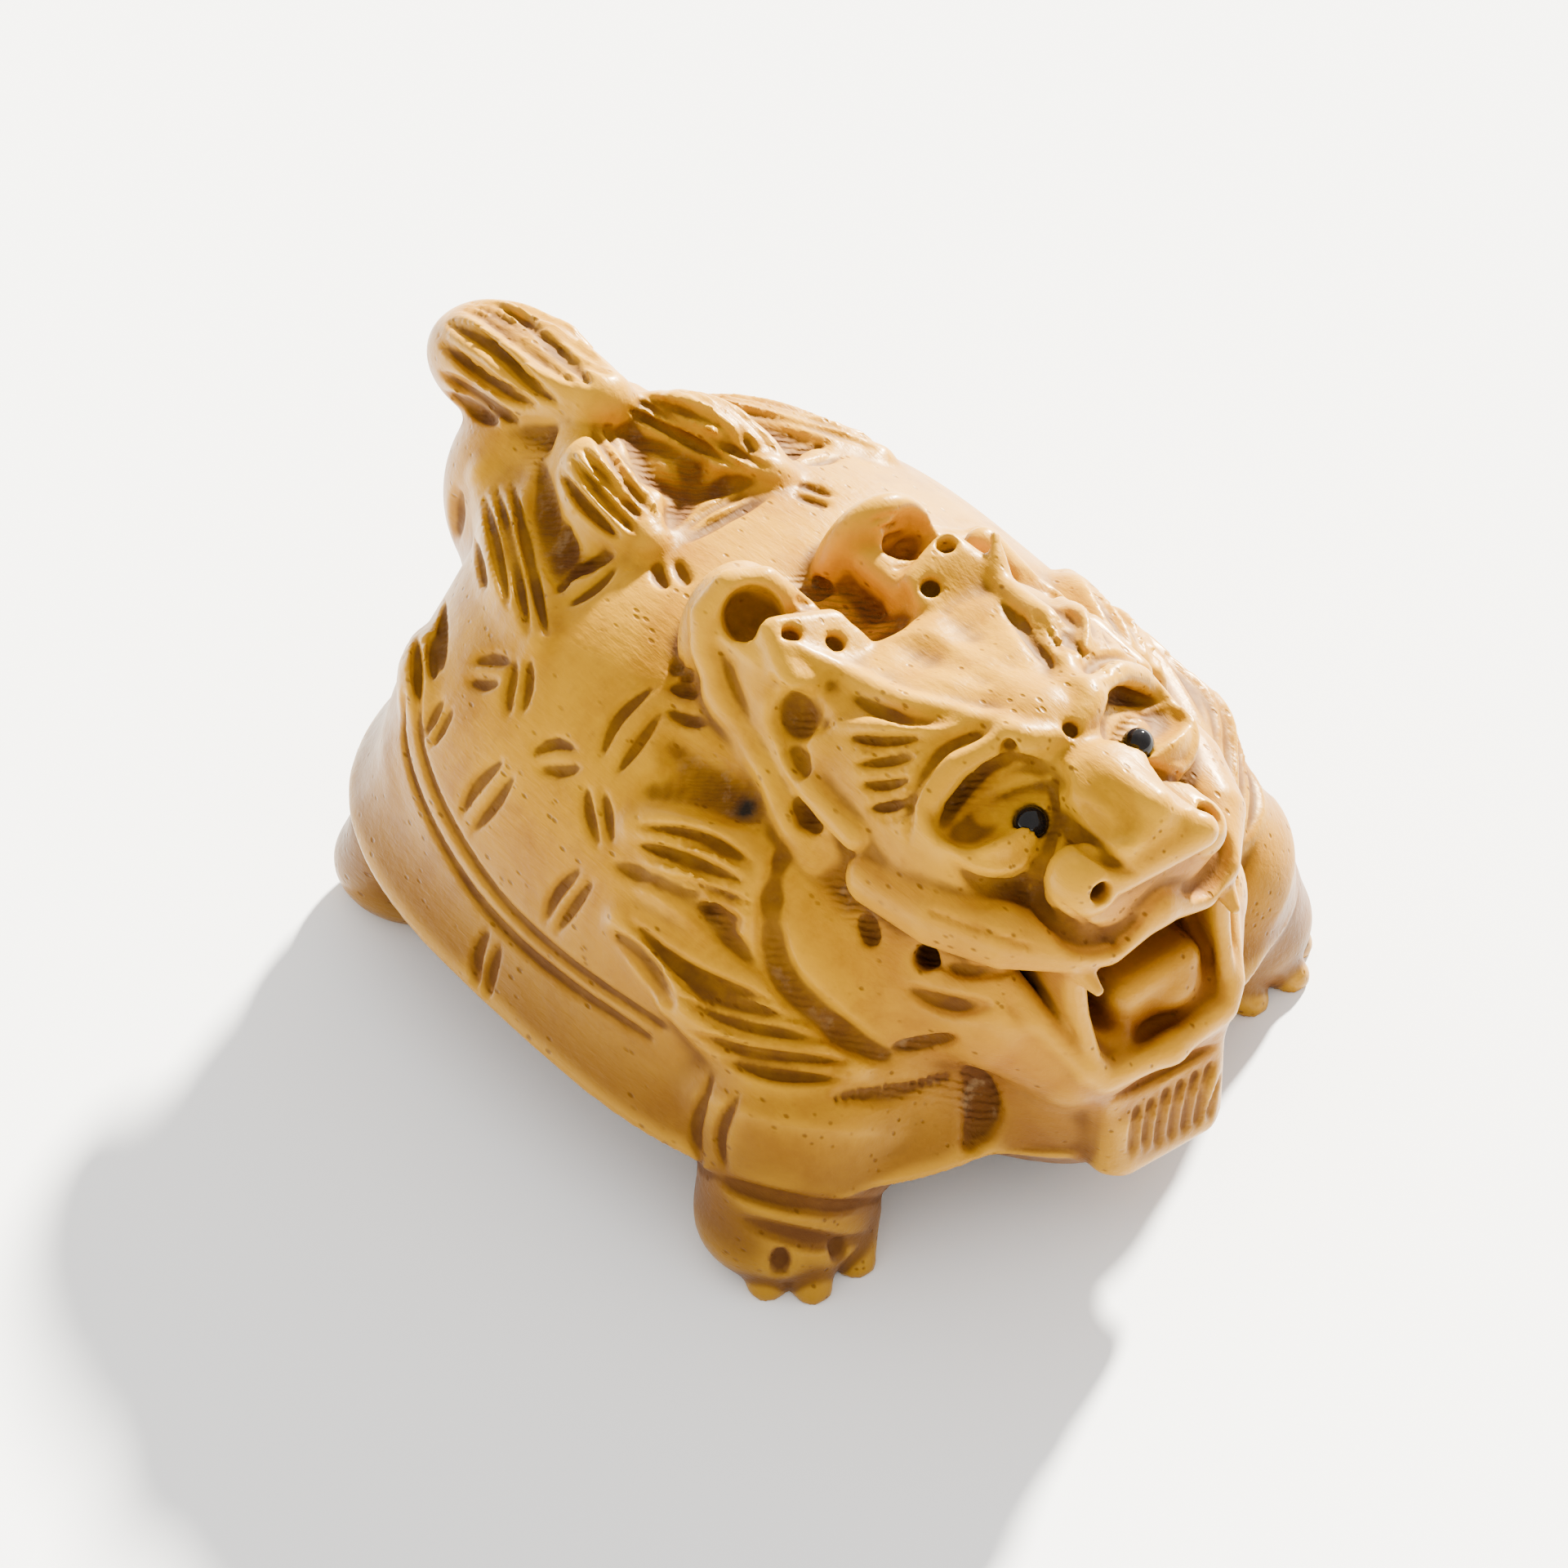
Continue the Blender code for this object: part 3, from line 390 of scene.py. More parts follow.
SHELL_HAIR = (
    ((676, 562), (712, 615), (762, 663)), ((697, 556), (732, 602), (785, 658)),
    ((712, 546), (745, 589), (788, 638)), ((724, 526), (762, 579), (795, 628)),
    ((765, 499), (838, 536), (918, 579)), ((772, 486), (845, 523), (944, 575)),
    ((788, 484), (845, 506), (894, 525)),
    ((624, 585), (646, 672), (671, 788)), ((604, 587), (626, 672), (649, 784)),
    ((589, 599), (606, 665), (623, 748)), ((573, 615), (583, 672), (596, 725)),
    ((531, 628), (503, 721), (498, 804)), ((538, 638), (515, 721), (509, 804), (513, 860)),
    ((545, 672), (530, 754), (530, 837)), ((552, 690), (541, 760), (540, 825)),
)
TUFT_FLUTES = (
    ((536, 418), (606, 473), (662, 499)), ((546, 393), (599, 423), (652, 473), (689, 496)),
    ((550, 376), (589, 386), (652, 432), (709, 473)), ((575, 370), (625, 392), (680, 432), (715, 465)),
    ((603, 367), (652, 400), (709, 456), (725, 473)), ((536, 454), (579, 483), (619, 509), (636, 516)),
    ((543, 479), (579, 502), (613, 519)),
)
FLAME_HAIR = (
    ((776, 1010), (860, 1025), (925, 1060)), ((776, 1033), (841, 1052), (917, 1083)),
    ((822, 1075), (879, 1094), (921, 1106)), ((852, 1106), (885, 1120), (913, 1132)),
    ((764, 1121), (841, 1186), (959, 1232)), ((803, 1171), (879, 1222), (1000, 1255)),
    ((827, 1217), (899, 1253), (1021, 1277)), ((839, 1261), (918, 1288), (1049, 1302)),
    ((879, 1296), (946, 1316), (1033, 1322)),
)
NAPE_HAIR = (((815, 838), (836, 845), (858, 853)), ((808, 865), (838, 880), (868, 889)))
NECK_GROOVE = ((958, 1040), (944, 1102), (944, 1159), (963, 1205), (1001, 1243), (1057, 1282), (1096, 1298))
BROW_HAIR = (((1033, 902), (1080, 908), (1135, 903)), ((1045, 936), (1085, 933), (1125, 925)),
             ((1049, 961), (1085, 962), (1120, 952)), ((1060, 990), (1090, 988), (1118, 978)))
LEFT_BROW_HAIR = (((1228, 739), (1264, 785), (1297, 825)), ((1261, 742), (1291, 779), (1311, 819)),
                  ((1284, 746), (1307, 776), (1327, 805)))
BEARD_TOP = ((1357, 1350), (1437, 1308), (1517, 1268))
BEARD_FLUTES = 7


def shell_form(wood):
    """The turtle-back with its sloping rim, and the flat belly under it."""
    wood.join(dome(22.2, 25.6, 6.0, 22.3, 4.0, 3.0, 2.25, 0.6, left=0.955))
    wood.join(dome(24.1, 27.2, 7.2, 14.0, 2.2, 3.0, 1.35, 0.2, left=0.98), 1.5)
    wood.join(block((0, 0, 5.5), (18.5, 22, 2.9), corner=2.4), 2.0)


def feet_form(wood):
    """Two front feet with toes, the left one a little further back, and two plain rear feet."""
    for side, back in ((-1, 0.0), (1, 1.4)):
        wood.join(limb(((side * 15, -17, 8), (side * 17.2, back - 18.5, 4.5)), (7.0, 5.4)), 1.0)
        wood.join(egg((side * 18, back - 19.0, 2.6), (5.3, 5.0, 3.4), (0, 0, side * 20)), 1.0)
        for x, y in ((21.2, -21.4), (19.3, -23.3), (16.0, -23.3)):
            toe = ((side * x * 0.94, back + y * 0.92, 2.2), (side * x, back + y, 0.4))
            wood.join(limb(toe, (1.9, 1.2)), 0.6)
    wood.join(limb(((-14.5, 15.5, 8), (-17.0, 17.5, 4.0)), (6.5, 4.6)), 1.0, both=True)
    wood.join(egg((-17.4, 18.0, 2.4), (4.4, 4.8, 3.2), (0, 0, 30)), 1.0, both=True)


def tail_form(wood):
    """The swell of the rump, and the tuft of the tail laid on it."""
    wood.join(egg((0, 16.5, 18.5), (10.0, 8.5, 9.3)), 5.0)
    wood.join(egg((0, 24.8, 18.0), (7.3, 7.3, 8.0)), 2.0)
    wood.join(limb(((0, 20.8, 28.2), (0, 26.5, 26.4)), (2.2, 3.6)), 1.0)
    wood.join(egg((0, 29.8, 25.0), (3.9, 7.0, 3.8), (-20, 0, 0)), 1.0)


def head_form(wood):
    """The masses of the head, from the skull down to the beard."""
    # skull, face and the ridge of the forehead
    wood.join(block((0.2, -14.5, 23.6), (10.2, 9.2, 7.8), (6, 0, 0), 5.2), 1.5)
    wood.join(block((0.4, -18.0, 26.2), (9.2, 7.0, 6.2), (4, 0, 0), 3.8), 1.5)
    wood.join(limb(((0, -8.5, 26.0), (0.2, -15, 28.8), (0.5, -19.6, 30.8)), (4.0, 4.2, 3.0)), 2.0)
    wood.join(egg((0.5, -20.2, 31.4), (3.3, 2.8, 2.3)), 1.2)
    # throat, cheeks, lower jaw and the beard under the chin
    wood.join(egg((0, -21.4, 9.8), (8.4, 10.0, 8.9)), 2.0)
    wood.join(egg((-7.6, -17, 16.5), (4.4, 6.6, 6.6)), 1.5, both=True)
    jaw = ((-6.9, -18.0, 16.4), (-5.6, -24.3, 17.4), (-3.6, -28.2, 14.6))
    wood.join(limb(jaw, (5.0, 4.8, 3.6)), 1.5, both=True)
    wood.join(block((0.6, -29.8, 10.4), (4.7, 2.1, 4.6), (0, 0, -2), 1.1), 0.8)
    wood.join(block((0.5, -30.4, 8.4), (3.8, 2.1, 2.6), (0, 0, -2), 1.0), 0.8)
    # muzzle, the bands of the cheeks, nose and the lobes of the nostrils
    wood.join(block((0.5, -25.6, 26.2), (5.8, 4.6, 3.5), (0, 0, 0), 1.8), 0.8)
    band = ((-10.0, -17.5, 24.2), (-9.0, -22.0, 24.4), (-7.4, -26.0, 24.6),
            (-5.0, -29.2, 24.4), (-3.0, -29.9, 24.0), (0.5, -30.2, 25.2))
    wood.join(limb(band, (1.7, 2.1, 2.0, 1.4, 1.2, 1.1)), 0.7, both=True)
    wood.join(block((0.5, -27.0, 30.6), (2.8, 3.6, 2.0), (8, 0, -4), 0.9), 0.6)
    wood.join(limb(((0.5, -21.8, 30.6), (0.6, -26.0, 31.8), (0.8, -29.2, 32.2)), (1.9, 1.7, 1.3)), 1.0)
    wood.join(limb(((-2.4, -29.9, 29.5), (2.9, -31.0, 30.5)), (1.2, 1.1)), 0.7)
    wood.join(egg((-3.9, -28.7, 29.0), (2.1, 2.2, 2.1)), 0.2)
    wood.join(egg((4.5, -28.7, 27.9), (1.9, 2.0, 1.8)), 0.2)


def mouth_form(wood):
    """The open mouth, with a pocket at each side behind a skin, its tongue, the lower lip and the fangs."""
    wood.cut(wedge((0.5, -25.8, 22.0), 0.10, 1.15, 14.0, 12.0), 0.4)
    wood.cut(block((0.5, -27.8, 20.0), (4.4, 4.8, 3.1), (0, 0, 0), 1.4), 0.3)
    wood.cut(egg((-6.6, -27.0, 20.2), (1.5, 2.6, 2.1)), 0.3, both=True)
    rim = ((-7.4, -24.6, 21.6), (-6.6, -28.2, 18.9), (-5.0, -30.8, 15.9),
           (-4.0, -31.4, 14.9), (0.6, -31.9, 14.7))
    wood.join(limb(rim, (1.0, 0.9, 0.9, 0.9, 0.9)), 0.6, both=True)
    skin = ((-4.6, -31.0, 15.8), (-4.9, -30.0, 19.5), (-5.0, -29.4, 23.4))
    wood.join(limb(skin, (0.6, 0.55, 0.6)), 0.4, both=True)
    wood.join(block((-5.0, -27.6, 20.0), (0.6, 2.2, 3.8), corner=0.4), 0.4, both=True)
    wood.join(limb((at(1322, 1186, -4.9), at(1345, 1214, -4.7)), (0.8, 0.35)), 0.2, both=True)
    wood.join(block((1.2, -26.6, 17.6), (3.5, 3.8, 2.2), (4, 0, 0), 1.4), 0.5)
    wood.join(egg((2.4, -29.0, 17.0), (2.2, 2.0, 1.7)), 0.5)


def crown_form(wood):
    """The knobs and ears at the back of the head, and the frill down to the cheeks."""
    wood.join(limb(((-5.0, -9.0, 28.4), (-4.4, -13.5, 30.0), (-3.4, -17.6, 31.2)), (2.5, 2.0, 1.7)), 1.2)
    wood.join(limb(((4.8, -9.0, 28.2), (5.0, -13.5, 29.4), (4.4, -17.6, 30.8)), (2.4, 2.2, 1.8)), 1.2)
    wood.join(block((-5.7, -6.0, 29.3), (3.4, 2.8, 3.2), (18, 14, -14), 1.1), 0.5)
    wood.join(block((4.6, -6.2, 29.0), (3.0, 2.6, 3.1), (18, -14, 12), 1.1), 0.5)
    wood.cut(limb(((-0.4, 1.0, 30.5), (-0.4, -5.5, 31.4)), 2.4), 0.6)
    wood.join(egg((-6.2, 0.4, 28.4), (3.6, 2.4, 4.9)), 0.5)
    wood.join(block((-6.0, -2.8, 28.2), (3.0, 3.0, 3.7), corner=1.0), 0.5)
    hook = ((-9.4, -3.4, 27.2), (-9.2, -1.0, 29.8), (-8.6, -0.2, 31.5),
            (-7.0, -0.4, 32.9), (-5.2, -1.4, 32.8), (-4.2, -3.4, 31.4))
    wood.join(limb(hook, (1.1, 1.0, 1.0, 1.1, 1.1, 1.0)), 0.4)
    wood.cut(egg((-6.9, -2.4, 32.0), (1.8, 1.8, 1.9)), 0.3)
    wood.join(egg((4.2, 0.2, 27.8), (3.9, 2.2, 5.2), (4, 12, -10)), 0.5)
    wood.join(block((4.6, -2.8, 27.6), (3.0, 3.0, 3.4), corner=1.0), 0.5)
    wood.cut(egg((5.8, -2.5, 30.4), (2.5, 1.8, 3.6), (4, 16, -10)), 0.3)
    wood.join(limb(((-7.0, -2.5, 26.2), (-7.8, -8.0, 25.2), (-8.6, -13.0, 23.8)), 3.0), 1.0, both=True)
    outer = ((-9.3, -2.6, 27.6), (-9.6, -5.6, 26.6), (-10.4, -8.6, 25.8),
             (-11.2, -11.6, 24.6), (-11.2, -13.6, 23.4))
    inner = ((-8.0, -4.4, 29.6), (-8.8, -7.4, 27.8), (-9.9, -12.0, 27.0), (-10.2, -16.0, 26.6))
    wood.join(limb(outer, (1.2, 1.1, 1.1, 1.0, 0.8)), 0.5, both=True)
    wood.join(limb(inner, (1.2, 1.1, 1.1, 0.9)), 0.5, both=True)


def eye_form(wood):
    """The sunken sockets with their rings, and the swell of the eyeball that carries each bead."""
    wood.cut(limb((before(1180, 986, 37.4), before(1262, 958, 37.6)), (2.6, 2.3)), 0.3, both=True)
    ball = (before(1184, 1018, 33.9), before(1216, 1008, 33.6), before(1254, 995, 33.2))
    wood.join(limb(ball, (1.3, 2.0, 2.2)), 0.2, both=True)
    ring = (before(1140, 1030, 34.6), before(1142, 978, 35.4), before(1172, 938, 35.8),
            before(1216, 916, 35.8), before(1268, 908, 35.4))
    wood.join(limb(ring, (0.5, 0.75, 0.8, 0.8, 0.6)), 0.3, both=True)


def belly_form(wood):
    """The pair of cord holes, joined by a bent passage inside the belly."""
    radius = CORD_HOLE / STEP / 2
    wood.cut(limb(((-4.5, 3, 0.5), (-3.8, 3, 6.0), (3.8, 3, 6.0), (4.5, 3, 0.5)), radius), 0.3)


def carve_shell(wood):
    """Locks of hair on the shell, the seams of its scutes, its rim lines and the tuft's flutes."""
    wood.strand([((752, 492), (850, 520), (950, 580)), ((700, 535), (745, 590), (795, 655)),
                 ((590, 585), (618, 670), (660, 785)), ((545, 625), (515, 730), (512, 862))],
                5.0, 0.55, blend=1.2)
    wood.gouge([((768, 520), (800, 575), (850, 592), (925, 586)), ((660, 566), (664, 640), (690, 722))],
               2.6, 1.1, blend=0.4)
    wood.gouge([((560, 600), (556, 660), (570, 740)), ((878, 524), (921, 542), (971, 549)),
                ((690, 640), (705, 690), (750, 676))], 2.2, 0.7, blend=0.4)
    wood.gouge(SHELL_HAIR, 1.0, 0.5)
    wood.gouge(SCUTE_SEAMS, 1.05, 0.45)
    wood.gouge([RIM_LINE, tuple((x + RIM_LINE_GAP[0], y + RIM_LINE_GAP[1]) for x, y in RIM_LINE)],
               0.9, 0.4, ends=0.15)
    wood.gouge(TUFT_FLUTES, 1.5, 0.6)


def carve_flames(wood):
    """The flame-like locks beside the cheeks, and the hollows round them."""
    wood.strand([((776, 1012), (850, 1020), (940, 1075)), ((800, 1075), (870, 1090), (930, 1125))],
                4.0, 0.5, blend=1.2)
    wood.strand([((760, 1130), (850, 1215), (990, 1262)), ((820, 1230), (920, 1290), (1045, 1305))],
                4.5, 0.5, blend=1.2)
    wood.gouge([((815, 905), (850, 945), (918, 990)), ((790, 965), (860, 965), (925, 1000))],
               3.2, 0.9, blend=0.8)
    wood.gouge([((745, 1056), (822, 1092), (898, 1155), (937, 1197)),
                ((745, 1140), (783, 1178), (826, 1236))], 1.8, 0.8, blend=0.3)
    wood.gouge(FLAME_HAIR, 1.2, 0.65)
    wood.gouge(NAPE_HAIR, 1.0, 0.5)
    wood.gouge([NECK_GROOVE], 2.2, 0.9, ends=0.4, blend=0.4)
    wood.gouge([((1017, 1340), (1090, 1340), (1160, 1318))], 1.3, 0.3, blend=0.2)
    wood.gouge([((1150, 1270), (1192, 1318), (1202, 1368), (1184, 1412))], 2.2, 1.1, blend=0.6)


def carve_feet(wood):
    """The creases over the front feet, and the gaps between the toes."""
    wood.gouge([((800, 1402), (870, 1440), (954, 1470), (1040, 1478), (1128, 1450))], 1.3, 0.6, blend=0.3)
    wood.gouge([((899, 1490), (978, 1516), (1037, 1522), (1080, 1503))], 1.6, 0.5, blend=0.2)
    toe_gaps = (((956, 1530), (955, 1545), (954, 1562)), ((1020, 1520), (1027, 1530), (1031, 1545)))
    wood.gouge(toe_gaps, 1.3, 0.7)


def carve_head(wood):
    """The marks of the head, from its crown to its beard."""
    wood.drill(((970, 774), (1024, 785), (1140, 718), (1158, 664)), 0.7, 0.8, both=False)
    # locks over the forehead, and the hollows between them
    wood.strand([((975, 792), (1030, 822), (1100, 856), (1185, 872)),
                 ((1030, 888), (1100, 894), (1175, 890))], 1.7, 0.35, blend=0.5)
    wood.gouge([((935, 835), (965, 868), (1015, 888))], 3.0, 0.9, blend=0.4)
    wood.gouge([((962, 905), (975, 930), (984, 952)), ((974, 978), (988, 1000), (1003, 1018))],
               1.7, 1.0, blend=0.2)
    wood.gouge([((1040, 850), (1095, 876), (1170, 884))], 1.1, 0.5, blend=0.2)
    wood.gouge([((1160, 750), (1200, 785), (1244, 818))], 3.0, 0.5, blend=0.6)
    wood.gouge(BROW_HAIR, 1.1, 0.55)
    wood.gouge(LEFT_BROW_HAIR, 1.0, 0.4, both=False, blend=0.2)
    # brow and rings of the eye
    wood.strand([((1180, 876), (1225, 892), (1262, 905), (1300, 900))], 2.2, 0.3, blend=0.6)
    wood.gouge([((1112, 1035), (1116, 972), (1150, 922), (1200, 896))], 1.0, 0.6, blend=0.1)
    wood.gouge([((1152, 1010), (1176, 968), (1210, 940), (1244, 930), (1280, 934))], 1.2, 0.9, blend=0.1)
    wood.gouge([((1158, 1050), (1193, 1080), (1243, 1084), (1276, 1055))], 1.2, 0.5, blend=0.1)
    wood.strand([((1156, 1022), (1184, 990), (1216, 968), (1252, 954), (1288, 952)),
                 ((1156, 1030), (1193, 1058), (1240, 1062), (1274, 1036))], 0.9, 0.3, blend=0.2)
    wood.drill(((1235, 919), (1312, 891)), 0.6, 0.5, both=False)
    # nose, nostrils and the hatched band over the lip
    wood.gouge([((1291, 952), (1286, 1016), (1268, 1075), (1279, 1118), (1315, 1155))], 1.3, 1.0, blend=0.1)
    wood.gouge([((1285, 1110), (1320, 1148), (1365, 1150), (1400, 1118))], 2.0, 0.8, blend=0.3)
    wood.drill(((1352, 1096),), 0.75, 1.8)
    wood.gouge([((1312, 1030), (1345, 1048), (1372, 1062), (1395, 1070))], 0.9, 0.5, blend=0.1)
    # cheek pit, corner of the mouth and the creases of the jaw
    wood.gouge([((1070, 1080), (1060, 1118), (1070, 1162))], 1.4, 0.8, ends=0.5)
    wood.drill(((1133, 1173),), 0.9, 1.6)
    wood.gouge([((1140, 1180), (1190, 1190), (1244, 1190))], 0.9, 0.9)
    wood.gouge([((1318, 982), (1350, 1010), (1390, 1024))], 2.0, 0.5, blend=0.3)
    wood.gouge([((1104, 1208), (1156, 1230), (1220, 1232))], 1.4, 0.6, blend=0.2)
    wood.gouge([((1088, 1284), (1130, 1280), (1175, 1269))], 1.3, 0.7, blend=0.2)
    wood.gouge([BEARD_TOP], 1.4, 0.9, both=False, blend=0.1)
    first = np.array(((1396, 1346), (1390, 1392), (1383, 1438)))
    last = np.array(((1504, 1284), (1490, 1338), (1478, 1390)))
    flutes = [first + (last - first) * i / (BEARD_FLUTES - 1) for i in range(BEARD_FLUTES)]
    wood.gouge(flutes, 0.85, 0.5, both=False, ends=0.2)


def carved_wood(grain):
    """The whole carving, from its masses to its last mark."""
    wood = Wood((-27, -39, -2.5), (27, 40, 39.5), grain)
    for make in (shell_form, feet_form, tail_form):
        make(wood)
    wood.middle = HEAD_MIDDLE
    for make in (head_form, mouth_form, crown_form, eye_form, carve_head):
        make(wood)
    wood.middle = 0.0
    for make in (belly_form, carve_shell, carve_flames, carve_feet):
        make(wood)
    wood.polish()
    return wood


class Socket:
    """An output in a material. Sums of outputs and numbers add Math nodes."""

    def __init__(self, finish, output):
        self.finish = finish
        self.output = output

    def sum(self, operation, first, second):
        return self.finish.node("ShaderNodeMath", {"operation": operation}, {0: first, 1: second})

    def __add__(self, other):
        return self.sum("ADD", self, other)

    def __radd__(self, other):
        return self.sum("ADD", other, self)

    def __sub__(self, other):
        return self.sum("SUBTRACT", self, other)

    def __rsub__(self, other):
        return self.sum("SUBTRACT", other, self)

    def __mul__(self, other):
        return self.sum("MULTIPLY", self, other)

    def __rmul__(self, other):
        return self.sum("MULTIPLY", other, self)


class Finish:
    """A material and its shader."""

    def __init__(self, name):
        self.material = bpy.data.materials.new(name)
        self.material.use_nodes = True
        self.tree = self.material.node_tree
        self.shader = self.tree.nodes["Principled BSDF"]

    def feed(self, socket, value):
        if isinstance(value, Socket):
            self.tree.links.new(value.output, socket)
        elif isinstance(value, tuple) and len(value) == 3 and socket.type == "RGBA":
            socket.default_value = (*value, 1.0)
        else:
            socket.default_value = value

    def node(self, kind, settings=None, sockets=None, output=0):
        node = self.tree.nodes.new(kind)
        for name, value in (settings or {}).items():
            setattr(node, name, value)
        for name, value in (sockets or {}).items():
            self.feed(node.inputs[name], value)
        return Socket(self, node.outputs[output])

    def constant(self, **values):
        """Set sockets of the shader that stay the same all over."""
        for name, value in values.items():
            self.shader.inputs[name.replace("_", " ")].default_value = value

    def shade(self, **values):
        """Feed sockets of the shader that vary over the piece."""
        for name, value in values.items():
            self.feed(self.shader.inputs[name.replace("_", " ")], value)

    def masked(self, name):
        """A value kept at each point of the mesh."""
        return self.node("ShaderNodeAttribute", {"attribute_name": name}, output="Fac")

    def noise(self, place, scale, detail=3.0, roughness=0.55, distortion=0.0):
        return self.node("ShaderNodeTexNoise", {}, {"Vector": place, "Scale": scale, "Detail": detail,
                                                    "Roughness": roughness, "Distortion": distortion})

    def ramp(self, value, low, high, to_low=0.0, to_high=1.0):
        """A value moved from one range to another, and kept inside it."""
        return self.node("ShaderNodeMapRange", {"clamp": True, "interpolation_type": "SMOOTHSTEP"},
                         {"Value": value, "From Min": low, "From Max": high,
                          "To Min": to_low, "To Max": to_high})

    def blend(self, share, first, second):
        """The first colour, with a share of the second laid over it."""
        return self.node("ShaderNodeMix", {"data_type": "RGBA", "blend_type": "MIX"},
                         {"Factor": share, 6: first, 7: second}, output=2)

    def stretched(self, place, scale):
        """The places scaled on each axis: under 1 draws a texture out along it."""
        return self.node("ShaderNodeMapping", {}, {"Vector": place, "Scale": scale})


def boxwood_finish():
    """Honey-yellow boxwood: satin on its swells, brown in its cuts, with pores, dust and hatching; painted
    shade darkens its cuts, hollows, undersides and mouth, and a painted highlight pales its swells.
    """
    wood = Finish("boxwood_carved")
    place = wood.node("ShaderNodeTexCoord", output="Object")
    groove_dirt_and_shade = wood.masked("groove_dirt_and_shade")
    hollow_shade_and_dust = wood.masked("hollow_shade_and_dust")
    ridge_wear_and_highlight = wood.masked("ridge_wear_and_highlight")
    mouth_shade_and_patina = wood.masked("mouth_shade_and_patina")
    stain = wood.masked("stain")
    top = wood.masked("top")
    # growth bands along the block, clouds of tone, and their finer break-up
    bands = wood.noise(wood.stretched(place, (1.0, 0.16, 1.0)), 620.0, 4.0, 0.6, 0.4)
    cloud = wood.noise(place, 190.0, 5.0, 0.62, 0.5)
    level = wood.node("ShaderNodeSeparateXYZ", {}, {"Vector": place}, output=2)
    fleck = wood.noise(place, 900.0, 3.0, 0.6)
    body = wood.blend(wood.ramp(cloud, 0.35, 0.68), (0.42, 0.200, 0.002), (0.29, 0.122, 0.002))
    body = wood.blend(wood.ramp(bands, 0.35, 0.75) * 0.45, body, (0.47, 0.236, 0.002))
    # painted shade: surfaces that face down are painted browner than those that face up
    body = wood.blend(wood.ramp(top, 0.45, 0.9, 0.6, 0.0), body, (0.27, 0.098, 0.018))
    # painted shade: the wood is painted darker towards the floor that it stands on
    body = wood.blend(wood.ramp(level, 0.002, 0.016, 0.85, 0.0), body, (0.08, 0.032, 0.010))
    body = wood.blend(wood.ramp(fleck, 0.5, 0.8) * 0.3, body, (0.16, 0.060, 0.005))
    # swells are paler and yellower: partly rubbed by handling, partly a painted highlight
    body = wood.blend(wood.ramp(ridge_wear_and_highlight, 0.05, 0.6) * 0.45, body, (0.54, 0.27, 0.002))
    # cuts are painted dark brown, partly dirt and partly painted shade; wide hollows are painted darker as
    # shade and hold patches of pale dust
    patchy = wood.ramp(wood.noise(place, 420.0, 4.0, 0.6), 0.3, 0.7)
    body = wood.blend(wood.ramp(hollow_shade_and_dust, 0.08, 0.6) * (0.55 + 0.35 * patchy), body, (0.11, 0.036, 0.008))
    body = wood.blend(wood.ramp(groove_dirt_and_shade, 0.06, 0.6) * (0.65 + 0.25 * patchy), body, (0.065, 0.022, 0.008))
    dust = wood.ramp(wood.noise(place, 700.0, 5.0, 0.7), 0.52, 0.7) * wood.ramp(hollow_shade_and_dust, 0.1, 0.5)
    body = wood.blend(dust * 0.4, body, (0.26, 0.17, 0.08))
    # painted shade and patina: the inside of the mouth is painted darker
    body = wood.blend(mouth_shade_and_patina * 0.9, body, (0.10, 0.024, 0.001))
    # pores and specks
    cells = wood.node("ShaderNodeTexVoronoi", {"feature": "F1"},
                      {"Vector": wood.stretched(place, (1.0, 0.45, 1.0)), "Scale": 1900.0,
                       "Randomness": 1.0})
    near = wood.ramp(cells, 0.08, 0.26, 1.0, 0.0)
    thin = wood.ramp(wood.noise(place, 300.0, 2.0), 0.42, 0.56)
    pore = near * thin
    body = wood.blend(pore * 0.7, body, (0.08, 0.026, 0.003))
    body = wood.blend(stain, body, (0.012, 0.010, 0.010))
    # chisel hatching shows in the recesses, fine scratches everywhere
    hatch = wood.node("ShaderNodeTexWave", {"wave_type": "BANDS", "bands_direction": "DIAGONAL"},
                      {"Vector": place, "Scale": 1000.0, "Distortion": 3.0, "Detail": 2.0,
                       "Detail Scale": 1.5}, output="Fac")
    recess = wood.ramp(hollow_shade_and_dust, 0.12, 0.5)
    fibre = wood.noise(wood.stretched(place, (1.0, 0.2, 1.0)), 2600.0, 4.0, 0.65, 0.3)
    height = hatch * recess * 0.7 + fleck * 0.35 + fibre * 0.35 - pore * 0.3
    bump = wood.node("ShaderNodeBump", {}, {"Height": height, "Strength": 0.7, "Distance": 0.00018})
    rough = 0.33 + 0.25 * wood.ramp(groove_dirt_and_shade, 0.05, 0.5) + 0.2 * recess + 0.1 * wood.ramp(fleck, 0.3, 0.8)
    wood.shade(Base_Color=body, Roughness=rough, Normal=bump)
    wood.shade(Coat_Weight=0.10 * wood.ramp(ridge_wear_and_highlight, 0.1, 0.5) * (1.0 - recess))
    wood.constant(Coat_Roughness=0.22, IOR=1.45, Specular_IOR_Level=0.2,
                  Specular_Tint=(1.0, 0.6, 0.1, 1.0))
    return wood.material


